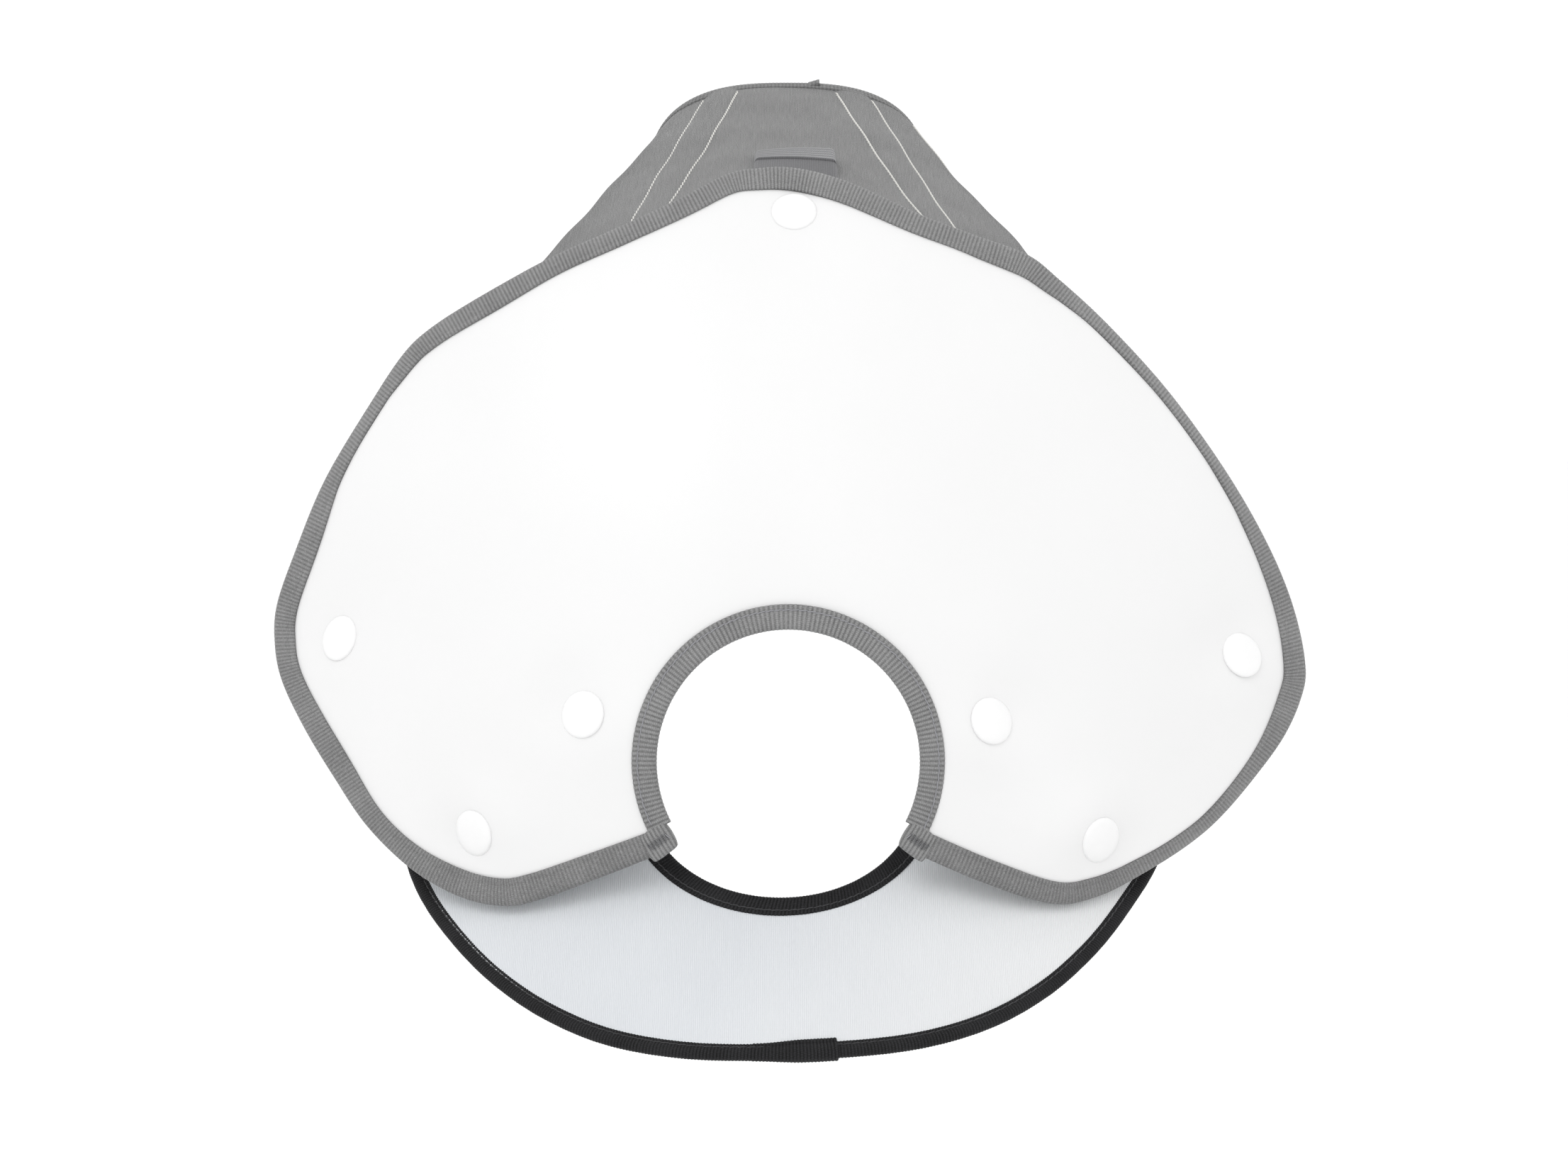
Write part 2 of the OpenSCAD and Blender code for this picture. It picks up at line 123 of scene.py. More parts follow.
# How far the sprung hoop hangs out of round, by degrees round the disc
OUT_OF_ROUND = [(-180, 0.5), (-160, 1.6), (-145, 1.3), (-134, 2.4), (-124, 4), (-114, 5.2), (-104, 4.6),
                (-94, 3.1), (-84, 2.5), (-72, 2.8), (-62, 2), (-52, 0), (-42, -2.1), (-30, -3.2), (-18, -1.7),
                (0, 0), (30, 0), (90, 0), (150, 0), (180, 0.5)]
HANGER_HALF = 25

# Sewing: a row's stitches, and where its seam runs, in shares of the tape's width from the fold
SEAM = {"pitch": 2.4, "gauge": 0.2, "slant": 0.3}
SEAM_SHARE, RIM_SEAM_SHARE = 0.75, 0.74


# ---- curves and surfaces

def unit(v):
    v = np.asarray(v, float)
    return v / np.linalg.norm(v, axis=-1, keepdims=True)


def joined(*parts):
    """Arrays and numbers, spread over each other, side by side as the last axis of one array."""
    return np.stack(np.broadcast_arrays(*parts), axis=-1)


def through(points, count):
    """A smooth curve through points, as count points an even distance apart."""
    p = np.asarray(points, float)
    ends = np.vstack([p[0], p, p[-1]])
    u = np.linspace(0, 1, 24, endpoint=False)[:, None]
    pieces = []
    for a, b, c, d in zip(ends, ends[1:], ends[2:], ends[3:]):
        pieces.append(0.5 * (2 * b + (c - a) * u + (2 * a - 5 * b + 4 * c - d) * u**2
                             + (3 * b - a - 3 * c + d) * u**3))
    return even(np.vstack(pieces + [p[-1:]]), count)


def run_of(curve):
    """Distance along a curve at each of its points."""
    return np.concatenate([[0], np.cumsum(np.linalg.norm(np.diff(curve, axis=0), axis=1))])


def even(curve, count):
    s = run_of(curve)
    at = np.linspace(0, s[-1], count)
    return np.stack([np.interp(at, s, curve[:, k]) for k in range(curve.shape[1])], axis=1)


def left_of(curve):
    """The unit direction to the left of a flat curve at each point."""
    d = unit(np.gradient(curve, axis=0))
    return np.stack([-d[:, 1], d[:, 0]], axis=1)


def panel_y(x, z):
    """How far back the panel's cloth lies, with its lean round each side snap."""
    y = (WING_CURVE * np.maximum(0, abs(x) - WING_START) ** 2 + PANEL_LEAN * z
         + PEAK_CURVE * np.maximum(0, z) ** 2)
    for sx, sz, across, up in SIDE_SNAPS:
        near = np.exp(-((x - sx) ** 2 + (z - sz) ** 2) / LEAN_REACH**2)
        y = y + near * (across * (x - sx) + up * (z - sz))
    return y


def on_panel(flat):
    x, z = flat[..., 0], flat[..., 1]
    return joined(x, panel_y(x, z), z)


def panel_normal(flat):
    x, z = flat[..., 0], flat[..., 1]
    e = 0.5
    dx = (panel_y(x + e, z) - panel_y(x - e, z)) / (2 * e)
    dz = (panel_y(x, z + e) - panel_y(x, z - e)) / (2 * e)
    return unit(joined(dx, -1, dz))


def panel_frame(flat):
    """Points on the panel and its normals there."""
    return on_panel(flat), panel_normal(flat)


def power(v, n):
    return np.sign(v) * np.abs(v) ** n


def mouth(a):
    s = power(np.sin(a), 2 / HOOD_BOW)
    return joined(MOUTH_W / 2 * power(np.cos(a), 2 / HOOD_BOW), MOUTH_Y + MOUTH_LEAN * s,
                  MOUTH_Z + MOUTH_H / 2 * s)


FINE_OUTLINE = through(OUTLINE, 3000)
PEAK_EDGE = FINE_OUTLINE[FINE_OUTLINE[:, 1] > CREASE_Z - 4]


def hood_front(a):
    """The hood's front edge: along the panel's peak, down both sides and across the bottom."""
    q = (np.degrees(a) + 45) % 360 / 90
    share = q % 1
    x = CORNER_X * (1 - 2 * share)
    z = np.maximum(np.interp(-x, -PEAK_EDGE[:, 0], PEAK_EDGE[:, 1]) - HOOD_UNDER, CORNER_Z)
    top = joined(x, panel_y(x, z) + HOOD_BEHIND, z)
    corner = np.array([CORNER_X, panel_y(CORNER_X, CORNER_Z) + HOOD_BEHIND, CORNER_Z])
    mirror = np.array([-1, 1, 1])
    t = share[..., None]
    right = FLOOR_CORNER + (corner - FLOOR_CORNER) * t
    left = (corner + (FLOOR_CORNER - corner) * t) * mirror
    bottom = FLOOR_CORNER * mirror + (FLOOR_CORNER - FLOOR_CORNER * mirror) * t
    side = np.floor(q)[..., None]
    return np.where(side == 0, right, np.where(side == 1, top, np.where(side == 2, left, bottom)))


def hood_point(a, w):
    """A point of the hood, a round it and the share w of its depth from the mouth to its front edge."""
    m, f = mouth(a), hood_front(a)
    w = np.asarray(w, float)[..., None]
    return m + (f - m) * w


def hood_normal(a, w):
    e = math.radians(1.5)
    return unit(np.cross(hood_point(a + e, w) - hood_point(a - e, w), hood_front(a) - mouth(a)))


UP_SLOPE = np.array([0, math.sin(DISC_TILT), math.cos(DISC_TILT)])
DISC_BACK = np.array([0, math.cos(DISC_TILT), -math.sin(DISC_TILT)])


def on_disc(flat):
    turn = flat[..., 0:1] / DISC_BEND
    across = np.concatenate([DISC_BEND * np.sin(turn), 0 * turn, 0 * turn], axis=-1)
    return DISC_CENTRE + across + flat[..., 1:2] * UP_SLOPE + DISC_BEND * (1 - np.cos(turn)) * DISC_BACK


def disc_normal(flat):
    turn = flat[..., 0:1] / DISC_BEND
    return np.concatenate([np.sin(turn), 0 * turn, 0 * turn], axis=-1) - np.cos(turn) * DISC_BACK


def disc_frame(flat):
    """Points on the disc and its normals there."""
    return on_disc(flat), disc_normal(flat)


HOOP_SET = through(OUT_OF_ROUND, 720)


def rim_r(a, r):
    """The rim's radius at that angle, where it would be r if the hoop hung round."""
    return r + np.interp((np.degrees(a) + 180) % 360 - 180, HOOP_SET[:, 0], HOOP_SET[:, 1]) * r / DISC_R


def rim(t, r):
    a = 2 * math.pi * t
    return rim_r(a, r)[..., None] * joined(np.cos(a), np.sin(a))


def lens_hole(t, d=0.0):
    """The lens hole's outline, grown by d: two half rounds drawn apart up the slope."""
    r = HOLE_R + d
    around, straight = 2 * math.pi * r, 2 * HOLE_STRETCH
    s = (np.asarray(t) % 1) * (around + straight)
    half = math.pi * r
    a = np.where(s < half, s / r, np.where(s < half + HOLE_STRETCH, math.pi,
                 np.where(s < 2 * half + HOLE_STRETCH, (s - HOLE_STRETCH) / r, 2 * math.pi)))
    rise = np.where(s < half, HOLE_STRETCH, np.where(s < half + HOLE_STRETCH, HOLE_STRETCH - (s - half),
                    np.where(s < 2 * half + HOLE_STRETCH, 0, s - 2 * half - HOLE_STRETCH)))
    low = 1 - rise / HOLE_STRETCH
    x = HOLE_SHIFT * low + (1 - (1 - HOLE_NARROW) * low) * r * np.cos(a)
    return joined(x, HOLE_LOW + rise + r * np.sin(a))


# ---- materials

def grey(value):
    return (value, value, value)


def set_inputs(node, **values):
    """Sets a node's inputs by name, with _ for each space."""
    for name, value in values.items():
        node.inputs[name.replace("_", " ")].default_value = value


class Shader:
    """A node material. Its pattern, in mm, follows the piece's "cloth" attribute: (along, across, height)."""

    def __init__(self, name, roughness, sheen=0.0, solid=False, **sockets):
        self.material = bpy.data.materials.new(name)
        self.material.use_nodes = True
        self.tree = self.material.node_tree
        self.shader = self.tree.nodes["Principled BSDF"]
        set_inputs(self.shader, Roughness=roughness, Sheen_Weight=sheen, **sockets)
        if solid:
            scale = self.node("ShaderNodeVectorMath")
            scale.operation = "SCALE"
            set_inputs(scale, Scale=1 / MM)
            self.link(self.node("ShaderNodeTexCoord").outputs["Object"], scale.inputs[0])
            self.cloth = scale.outputs[0]
        else:
            attribute = self.node("ShaderNodeAttribute")
            attribute.attribute_name = "cloth"
            self.cloth = attribute.outputs["Vector"]
        split = self.node("ShaderNodeSeparateXYZ")
        self.link(self.cloth, split.inputs[0])
        self.along, self.across, self.height = split.outputs

    def node(self, kind):
        return self.tree.nodes.new(kind)

    def link(self, a, b):
        self.tree.links.new(a, b)

    def math(self, operation, *values):
        n = self.node("ShaderNodeMath")
        n.operation = operation
        for socket, value in zip(n.inputs, values):
            if isinstance(value, (int, float)):
                socket.default_value = value
            else:
                self.link(value, socket)
        return n.outputs[0]

    def wave(self, value, pitch):
        """0 to 1 and back once each pitch."""
        s = self.math("SINE", self.math("MULTIPLY", value, 2 * math.pi / pitch))
        return self.math("MULTIPLY_ADD", s, 0.5, 0.5)

    def vary(self, tone, value, amount):
        """The tone, raised where value is above a half and lowered where it is below."""
        return self.math("MULTIPLY_ADD", self.math("SUBTRACT", value, 0.5), amount, tone)

    def noise(self, scale, detail=3.0, stretch=(1, 1, 1)):
        m = self.node("ShaderNodeMapping")
        set_inputs(m, Scale=stretch)
        self.link(self.cloth, m.inputs["Vector"])
        n = self.node("ShaderNodeTexNoise")
        set_inputs(n, Scale=scale, Detail=detail)
        self.link(m.outputs[0], n.inputs["Vector"])
        return n.outputs["Fac"]

    def mix(self, factor, a, b):
        n = self.node("ShaderNodeMix")
        n.data_type = "RGBA"
        n.inputs["A"].default_value = (*a, 1) if isinstance(a, tuple) else (0, 0, 0, 1)
        n.inputs["B"].default_value = (*b, 1)
        if not isinstance(a, tuple):
            self.link(a, n.inputs["A"])
        self.link(factor, n.inputs["Factor"])
        return n.outputs["Result"]

    def colour(self, value):
        self.link(value, self.shader.inputs["Base Color"])

    def bump(self, height, distance, strength=1.0):
        n = self.node("ShaderNodeBump")
        set_inputs(n, Strength=strength, Distance=distance * MM)
        self.link(height, n.inputs["Height"])
        self.link(n.outputs[0], self.shader.inputs["Normal"])

    def rough(self, value, low, high):
        self.link(self.math("MULTIPLY_ADD", value, high - low, low), self.shader.inputs["Roughness"])


def plain_weave(s, warp, weft):
    """Height of a plain weave with those thread pitches: threads round over and under each other."""
    over = s.math("MULTIPLY", s.math("SINE", s.math("MULTIPLY", s.along, math.pi / warp)),
                  s.math("SINE", s.math("MULTIPLY", s.across, math.pi / weft)))
    over = s.math("MULTIPLY_ADD", s.math("SIGN", over), 0.5, 0.5)
    up = s.math("ABSOLUTE", s.math("SINE", s.math("MULTIPLY", s.along, math.pi / warp)))
    side = s.math("ABSOLUTE", s.math("SINE", s.math("MULTIPLY", s.across, math.pi / weft)))
    return s.math("ADD", s.math("MULTIPLY", up, over),
                  s.math("MULTIPLY", side, s.math("SUBTRACT", 1, over)))


def woven(name, dark, light, warp, weft, roughness=0.85, sheen=0.15, depth=0.12):
    s = Shader(name, roughness, sheen)
    weave = plain_weave(s, warp, weft)
    streak = s.noise(1.1, 3, (1.7, 0.07, 1))
    speck = s.noise(2.6, 4)
    patch = s.noise(0.035, 4)
    tone = s.math("ADD", s.math("MULTIPLY", weave, 0.32), s.math("MULTIPLY", streak, 0.5))
    tone = s.vary(s.vary(tone, speck, 1.8), patch, 0.45)
    s.colour(s.mix(tone, dark, light))
    s.bump(s.math("ADD", weave, s.math("MULTIPLY", s.math("ADD", streak, speck), 0.7)), depth)
    s.rough(patch, roughness - 0.1, min(1, roughness + 0.1))
    return s.material


def grosgrain(name, dark, light, roughness=0.75, sheen=0.2, gloss=0.5):
    """Ribbed tape. Its ribs are in the mesh; the threads that wrap them, staggered rib by rib, are here, and
    each rib's crest is painted lighter as a painted highlight.
    """
    s = Shader(name, roughness, sheen, Specular_IOR_Level=gloss)
    rib = s.math("FLOOR", s.math("DIVIDE", s.along, RIB_PITCH))
    stagger = s.math("MULTIPLY", s.math("MODULO", rib, 2), math.pi)
    turn = s.math("ADD", s.math("MULTIPLY", s.across, 2 * math.pi / 0.55), stagger)
    thread = s.math("MULTIPLY_ADD", s.math("SINE", turn), 0.5, 0.5)
    # Painted highlight: the higher a rib's crest, the lighter it is painted, most on the thread beads.
    painted_bead_highlight = s.math("MULTIPLY", s.height, s.math("MULTIPLY_ADD", thread, 0.4, 0.6))
    fuzz = s.noise(2.4, 4)
    lint = s.math("POWER", s.noise(1.3, 2), 6)
    patch = s.noise(0.07, 4)
    tone = s.math("MULTIPLY_ADD", painted_bead_highlight, 1.0, s.math("MULTIPLY_ADD", fuzz, 1.1, -0.55))
    tone = s.math("MULTIPLY_ADD", lint, 2.5, s.vary(tone, patch, 0.6))
    s.colour(s.mix(tone, dark, light))
    s.bump(s.math("ADD", s.math("MULTIPLY", thread, 0.5), fuzz), 0.14)
    s.rough(fuzz, roughness - 0.12, min(1, roughness + 0.08))
    return s.material


def diffusion_cloth(name):
    s = Shader(name, 0.42, 0.05)
    set_inputs(s.shader, Subsurface_Weight=0.25, Subsurface_Radius=grey(0.004))
    cloud = s.noise(0.02, 4)
    fine = s.noise(1.5, 2)
    s.colour(s.mix(cloud, grey(0.755), grey(0.785)))
    s.bump(s.math("ADD", s.math("MULTIPLY", cloud, 2), s.math("MULTIPLY", fine, 0.08)), 0.25, 0.5)
    s.rough(cloud, 0.36, 0.5)
    return s.material


def ribbed_cloth(name):
    """The reflector's face: fine lengthwise ribs and bluish furrows, mixed towards white on its right as
    painted light.
    """
    s = Shader(name, 0.6, 0.1)
    rib = s.wave(s.along, 0.58)
    cross = s.wave(s.across, 0.34)
    cloud = s.noise(0.03, 3)
    slub = s.noise(0.9, 2, (2, 0.06, 1))
    tone = s.math("ADD", s.math("MULTIPLY", rib, 0.5), s.math("MULTIPLY", slub, 0.3))
    tone = s.vary(tone, cloud, 0.4)
    # Painted light: the face is mixed towards white to its right, where more light falls.
    fade = s.node("ShaderNodeMapRange")
    s.link(s.math("MULTIPLY_ADD", s.across, -0.6, s.along), fade.inputs["Value"])
    set_inputs(fade, From_Min=40, From_Max=190)
    tinted = s.mix(tone, (0.605, 0.63, 0.66), (0.725, 0.745, 0.765))
    s.colour(s.mix(fade.outputs["Result"], tinted, grey(0.8)))
    s.bump(s.math("ADD", rib, s.math("MULTIPLY", cross, 0.2)), 0.11)
    s.rough(rib, 0.5, 0.68)
    return s.material


def plastic(name, base, roughness):
    s = Shader(name, roughness, 0, Coat_Weight=0.2)
    grain = s.noise(0.4, 3)
    s.colour(s.mix(grain, tuple(0.96 * c for c in base), base))
    s.bump(grain, 0.02)
    s.rough(grain, roughness - 0.05, roughness + 0.08)
    return s.material


def webbing(name, dark, light):
    """Webbing with ridges along it, each a plait of slanting threads, with the ridges painted lighter than
    the grooves: painted highlight and painted shade.
    """
    s = Shader(name, 0.8, 0.2)
    slant = s.wave(s.math("MULTIPLY_ADD", s.height, 0.8, s.along), 0.7)
    fuzz = s.noise(2.6, 4)
    # Painted highlight and shade: the higher the ridge, the lighter it is painted.
    tone = s.math("MULTIPLY_ADD", s.height, 0.7, s.math("MULTIPLY_ADD", slant, 0.25, -0.1))
    s.colour(s.mix(s.vary(tone, fuzz, 0.9), dark, light))
    s.bump(s.math("ADD", slant, fuzz), 0.12)
    s.rough(fuzz, 0.7, 0.9)
    return s.material


def brushed_loop(name, base):
    s = Shader(name, 0.95, 0.5)
    pile, loops = s.noise(2.2, 5), s.noise(0.7, 3)
    tone = s.math("ADD", s.math("MULTIPLY", pile, 0.7), s.math("MULTIPLY", loops, 0.4))
    s.colour(s.mix(tone, tuple(0.5 * c for c in base), tuple(1.5 * c for c in base)))
    s.bump(pile, 0.5)
    return s.material


def thread(name, base):
    s = Shader(name, 0.6, 0.2)
    ply = s.wave(s.math("MULTIPLY_ADD", s.across, 0.5, s.along), 0.45)
    s.colour(s.mix(ply, tuple(0.75 * c for c in base), base))
    s.bump(ply, 0.05)
    return s.material


def wire_steel(name):
    s = Shader(name, 0.3, solid=True, Metallic=1.0)
    draw = s.noise(1.0, 2)
    s.colour(s.mix(draw, (0.45, 0.45, 0.46), (0.62, 0.62, 0.63)))
    s.bump(draw, 0.01)
    return s.material


HOOD_CLOTH = woven("hood_cloth", grey(0.08), grey(0.31), 0.53, 0.48)
LINING_CLOTH = woven("hood_lining_cloth", (0.74, 0.74, 0.75), (0.88, 0.88, 0.88), 0.4, 0.4, 0.5)
BACKING_CLOTH = woven("backing_cloth", (0.008, 0.008, 0.009), (0.035, 0.035, 0.037), 0.5, 0.5)
GREY_TAPE = grosgrain("grey_tape", grey(0.105), grey(0.285))
# The mouth's grey tape as a darker copy of the panel's grey tape: painted shade over the band round the
# mouth.
SHADED_MOUTH_TAPE = grosgrain("mouth_tape", grey(0.105), grey(0.2), 0.9)
BLACK_TAPE = grosgrain("black_tape", grey(0.0005), (0.024, 0.024, 0.026), 0.7, 0, gloss=0.2)
PANEL_CLOTH = diffusion_cloth("diffusion_cloth")
FACE_CLOTH = ribbed_cloth("reflector_cloth")
SNAP_PLASTIC = plastic("white_plastic", grey(0.84), 0.3)
STAY_PLASTIC = plastic("stay_plastic", (0.8, 0.8, 0.76), 0.4)
WEBBING = webbing("webbing", (0.12, 0.12, 0.125), (0.31, 0.31, 0.32))
HOOK_LOOP = brushed_loop("hook_loop", (0.1, 0.1, 0.105))
WHITE_THREAD = thread("white_thread", (0.8, 0.79, 0.75))
GREY_THREAD = thread("grey_thread", (0.3, 0.3, 0.32))
BLACK_THREAD = thread("black_thread", (0.03, 0.03, 0.033))
SPRING_STEEL = wire_steel("spring_steel")


# ---- meshes

def mesh_object(name, points, faces, coords, material, sharp=40):
    """A closed mesh from points in mm, with the pattern's own coordinates on its points."""
    mesh = bpy.data.meshes.new(name)
    mesh.from_pydata((np.asarray(points) * MM).tolist(), [], faces)
    attribute = mesh.attributes.new("cloth", "FLOAT_VECTOR", "POINT")
    attribute.data.foreach_set("vector", np.asarray(coords, np.float32).ravel())
    mesh.materials.append(material)
    shape = bmesh.new()
    shape.from_mesh(mesh)
    bmesh.ops.recalc_face_normals(shape, faces=shape.faces)
    shape.to_mesh(mesh)
    shape.free()
    mesh.shade_smooth()
    mesh.set_sharp_from_angle(angle=math.radians(sharp))
    obj = bpy.data.objects.new(name, mesh)
    bpy.context.scene.collection.objects.link(obj)
    return obj


def ring_faces(rows, size, closed):
    """Faces that join closed rings of size points, and close the two ends if the rows are open."""
    i = np.arange(rows if closed else rows - 1)[:, None]
    j = np.arange(size)[None, :]
    a, b = i * size + j, i * size + (j + 1) % size
    n = (i + 1) % rows * size
    faces = joined(a, b, n + (j + 1) % size, n + j).reshape(-1, 4).tolist()
    if not closed:
        for start in (0, (rows - 1) * size):
            for k in range(size // 2 - 1):
                faces.append([start + k, start + k + 1, start + size - 2 - k, start + size - 1 - k])
    return faces


def loft(name, rings, coords, material, closed=False, sharp=40):
    rows, size = rings.shape[:2]
    return mesh_object(name, rings.reshape(-1, 3), ring_faces(rows, size, closed), coords.reshape(-1, 3),
                       material, sharp)


def slab(name, front, back, coords, material, closed=False, sharp=40):
    """A solid between two grids of points."""
    rings = np.concatenate([front, back[:, ::-1]], axis=1)
    return loft(name, rings, np.concatenate([coords, coords[:, ::-1]], axis=1), material, closed, sharp)


def shell(name, points, normals, low, high, coords, material, closed=False):
    """Cloth of real thickness over a grid of points: its front at offset high, its back at low."""
    flat = joined(coords[..., 0], coords[..., 1], 0)
    return slab(name, points + high * normals, points + low * normals, flat, material, closed)


def ribbed_slab(name, points, normals, half, coords, material):
    """A band over a grid of points, as thick on each side of it as half says."""
    return slab(name, points + half * normals, points - half * normals, coords, material, sharp=80)


# Half of a folded tape's section, as shares of its width and half thickness: flat, and swollen by a wire
FLAT_TAPE = [(0.97, 0.45), (0.98, 0.8), (0.94, 0.98), (0.82, 1.02), (0.75, 0.84), (0.68, 1.04), (0.5, 1.1),
             (0.3, 1.12), (0.14, 1.02), (0.045, 0.72), (0.0, 0.28)]
WIRED_TAPE = [(0.97, 0.3), (0.98, 0.5), (0.93, 0.62), (0.84, 0.66), (0.76, 0.52), (0.68, 0.72), (0.52, 0.98),
              (0.34, 1.1), (0.17, 1.0), (0.05, 0.7), (0.0, 0.28)]


def tape(name, edge, inner, normal, half, pitch, material, profile=FLAT_TAPE, closed=False, rib=0.2):
    """Ribbed tape folded over a cloth edge. edge is the fold's line, inner the line that its hems reach.

    rib is how far the ribs stand up, the same all along or one value for each point of the edge.
    """
    width = np.linalg.norm(inner - edge, axis=1, keepdims=True)
    across = (inner - edge) / width
    top = np.array(profile)
    ring = np.concatenate([top, top[::-1] * [1, -1]]) * [width.mean(), half]
    outward = np.roll(ring, -1, axis=0) - np.roll(ring, 1, axis=0)
    outward = unit(np.stack([-outward[:, 1], outward[:, 0]], axis=1))
    if np.sum(outward[:, 1] * ring[:, 1]) < 0:
        outward = -outward
    run = run_of(edge)
    total = run[-1] + (np.linalg.norm(edge[0] - edge[-1]) if closed else 0)
    count = max(2, round(total / pitch))
    ridge = (0.5 - 0.5 * np.cos(2 * math.pi * count * run / total)) ** 0.7
    wobble = 0.5 + 0.5 * np.sin(run * 0.9) * np.sin(run * 0.23 + 1)
    lift = rib * ridge * (0.75 + 0.25 * wobble)
    lateral = ring[None, :, 0] * width / width.mean() + lift[:, None] * outward[None, :, 0]
    height = ring[None, :, 1] + lift[:, None] * outward[None, :, 1]
    rings = (edge[:, None] + lateral[..., None] * across[:, None] + height[..., None] * normal[:, None])
    around = np.concatenate([[0], np.cumsum(np.linalg.norm(np.diff(ring, axis=0), axis=1))])
    ribs = run * count * RIB_PITCH / total
    # Painted highlight: how much lighter each rib's crest is painted, more where the ribs stand up more.
    crest_highlight = ridge * (0.5 + 0.5 * rib / np.max(rib))
    coords = joined(ribs[:, None], around, crest_highlight[:, None])
    return loft(name, rings, coords, material, closed, sharp=80)


def stitches(name, path, normals, material, pitch=2.6, gauge=0.24, slant=0.35, sink=0.1):
    """A row of stitches on a path: each a short bowed thread, a little askew, that dives in at both ends."""
    run = run_of(path)
    count = max(1, int(run[-1] / pitch))
    starts = (np.arange(count) + 0.08) * pitch
    tangent = unit(np.gradient(path, axis=0))
    side = unit(np.cross(normals, tangent))

    def at(values, s):
        return np.stack([np.interp(s, run, values[:, k]) for k in range(3)], axis=-1)

    shares = np.array([0.0, 0.12, 0.35, 0.65, 0.88, 1.0])
    bows = np.array([-0.1, 0.45, 0.75, 0.75, 0.45, -0.1])
    widths = np.array([0.7, 0.95, 1.0, 1.0, 0.95, 0.7])
    turns = np.arange(6) * math.pi / 3
    s = starts[:, None] + shares * pitch * 1.06
    centre, up, out = at(path, s), unit(at(normals, s)), unit(at(side, s))
    askew = (shares - 0.5) * slant
    centre = centre + up * (gauge * bows + sink)[None, :, None] + out * askew[None, :, None]
    ring = (centre[:, :, None] + gauge * widths[None, :, None, None]
            * (np.cos(turns)[:, None] * out[:, :, None] + np.sin(turns)[:, None] * up[:, :, None]))
    faces = []
    block = ring_faces(len(shares), len(turns), False)
    for k in range(count):
        base = k * len(shares) * len(turns)
        faces += [[base + v for v in f] for f in block]
    coords = joined(s[..., None], turns * gauge, 0)
    return mesh_object(name, ring.reshape(-1, 3), faces, coords.reshape(-1, 3), material, sharp=60)


def lathe(name, places, profile, material, sides=48):
    """Turned pieces with that outline of (radius, height), one at each (point, normal)."""
    turns = np.arange(sides) * 2 * math.pi / sides
    points, faces, coords = [], [], []
    profile = np.array(profile, float)
    for point, normal in places:
        u = unit(np.cross(normal, [0.3, 0.1, 1.0]))
        v = np.cross(normal, u)
        around = np.cos(turns)[:, None] * u + np.sin(turns)[:, None] * v
        base = len(points)
        for r, h in profile:
            points += list(point + r * around + h * normal)
            coords += [(r * math.cos(t), r * math.sin(t), h) for t in turns]
        rows = len(profile)
        for i in range(rows - 1):
            for j in range(sides):
                k = (j + 1) % sides
                faces.append([base + i * sides + j, base + i * sides + k, base + (i + 1) * sides + k,
                              base + (i + 1) * sides + j])
        faces.append([base + j for j in range(sides)])
        faces.append([base + (rows - 1) * sides + j for j in range(sides)])
    return mesh_object(name, points, faces, coords, material, sharp=50)


def finish_piece(obj, body, slot, *nodes):
    """Hangs a piece on a body, or, given two bodies, bakes it in place in the world, and hides the CAD parts
    that it stands for.
    """
    if isinstance(body, str):
        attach(obj, body)
    else:
        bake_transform(obj)
    if nodes:
        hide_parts(*nodes)
    return obj


# The two cloth hinges: (body, body, start, end) in metres
CREASE = ("hood", "diffuser", (0, 0.0482, 0.146), (0, 0.0482, 0.134))
HINGE = next(j["pos_m"] for j in frame["joints"] if j["name"] == "reflector_tilt")
HANG = ("hood", "reflector", (0, HINGE[1] + 0.004, HINGE[2] + 0.004), (0, HINGE[1] - 0.004, HINGE[2] - 0.004))


def soft_waves(p, size, seed):
    """A gentle, repeatable unevenness of about +-1 over a surface."""
    rng = np.random.default_rng(seed)
    total = np.zeros(p.shape[:-1])
    for _ in range(6):
        k = rng.normal(size=3) / size
        total += np.sin(p @ k * 2 * math.pi + rng.uniform(0, 6.28)) / 6
    return 2 * total


# ---- the panel

def tape_shows(share):
    smooth = through([(100 * s, w) for s, w in TAPE_SHOWS], 600)
    return np.interp(share, smooth[:, 0] / 100, smooth[:, 1])


def curled_edge(smoothing=45):
    """How far back each point of the edge curls, for an even tape to look as wide as TAPE_SHOWS says."""
    share = np.linspace(0, 1, len(FINE_OUTLINE))
    inner = FINE_OUTLINE + tape_shows(share)[:, None] * left_of(FINE_OUTLINE)
    run = np.linalg.norm(on_panel(inner) - on_panel(FINE_OUTLINE), axis=-1)
    depth = np.sqrt(np.maximum(0, TAPE_W**2 - run**2)) * np.clip(np.minimum(share, 1 - share) * 30, 0, 1)
    window = np.hanning(2 * smoothing + 1)
    return np.convolve(np.pad(depth, smoothing, mode="edge"), window / window.sum(), mode="valid")


CURL = curled_edge()


def curl_depth(share):
    return np.interp(share, np.linspace(0, 1, len(CURL)), CURL)


def edge_distance(flat):
    """How far flat points are from the panel's outline, and the share of the way along it nearest to each."""
    coarse = FINE_OUTLINE[::2]
    away = np.stack([np.linalg.norm(row[:, None] - coarse[None], axis=-1) for row in flat])
    return away.min(axis=-1), away.argmin(axis=-1) / (len(coarse) - 1)


def panel_spots():
    return [TOP_SNAP] + [(x, z) for x, z, *_ in SIDE_SNAPS]


def dimple(flat, depth=0.5, radius=9.0):
    """How far the cloth is drawn in round the snaps."""
    total = np.zeros(flat.shape[:-1])
    for x, z in panel_spots():
        total += np.exp(-((flat[..., 0] - x) ** 2 + (flat[..., 1] - z) ** 2) / radius**2)
    return -depth * total


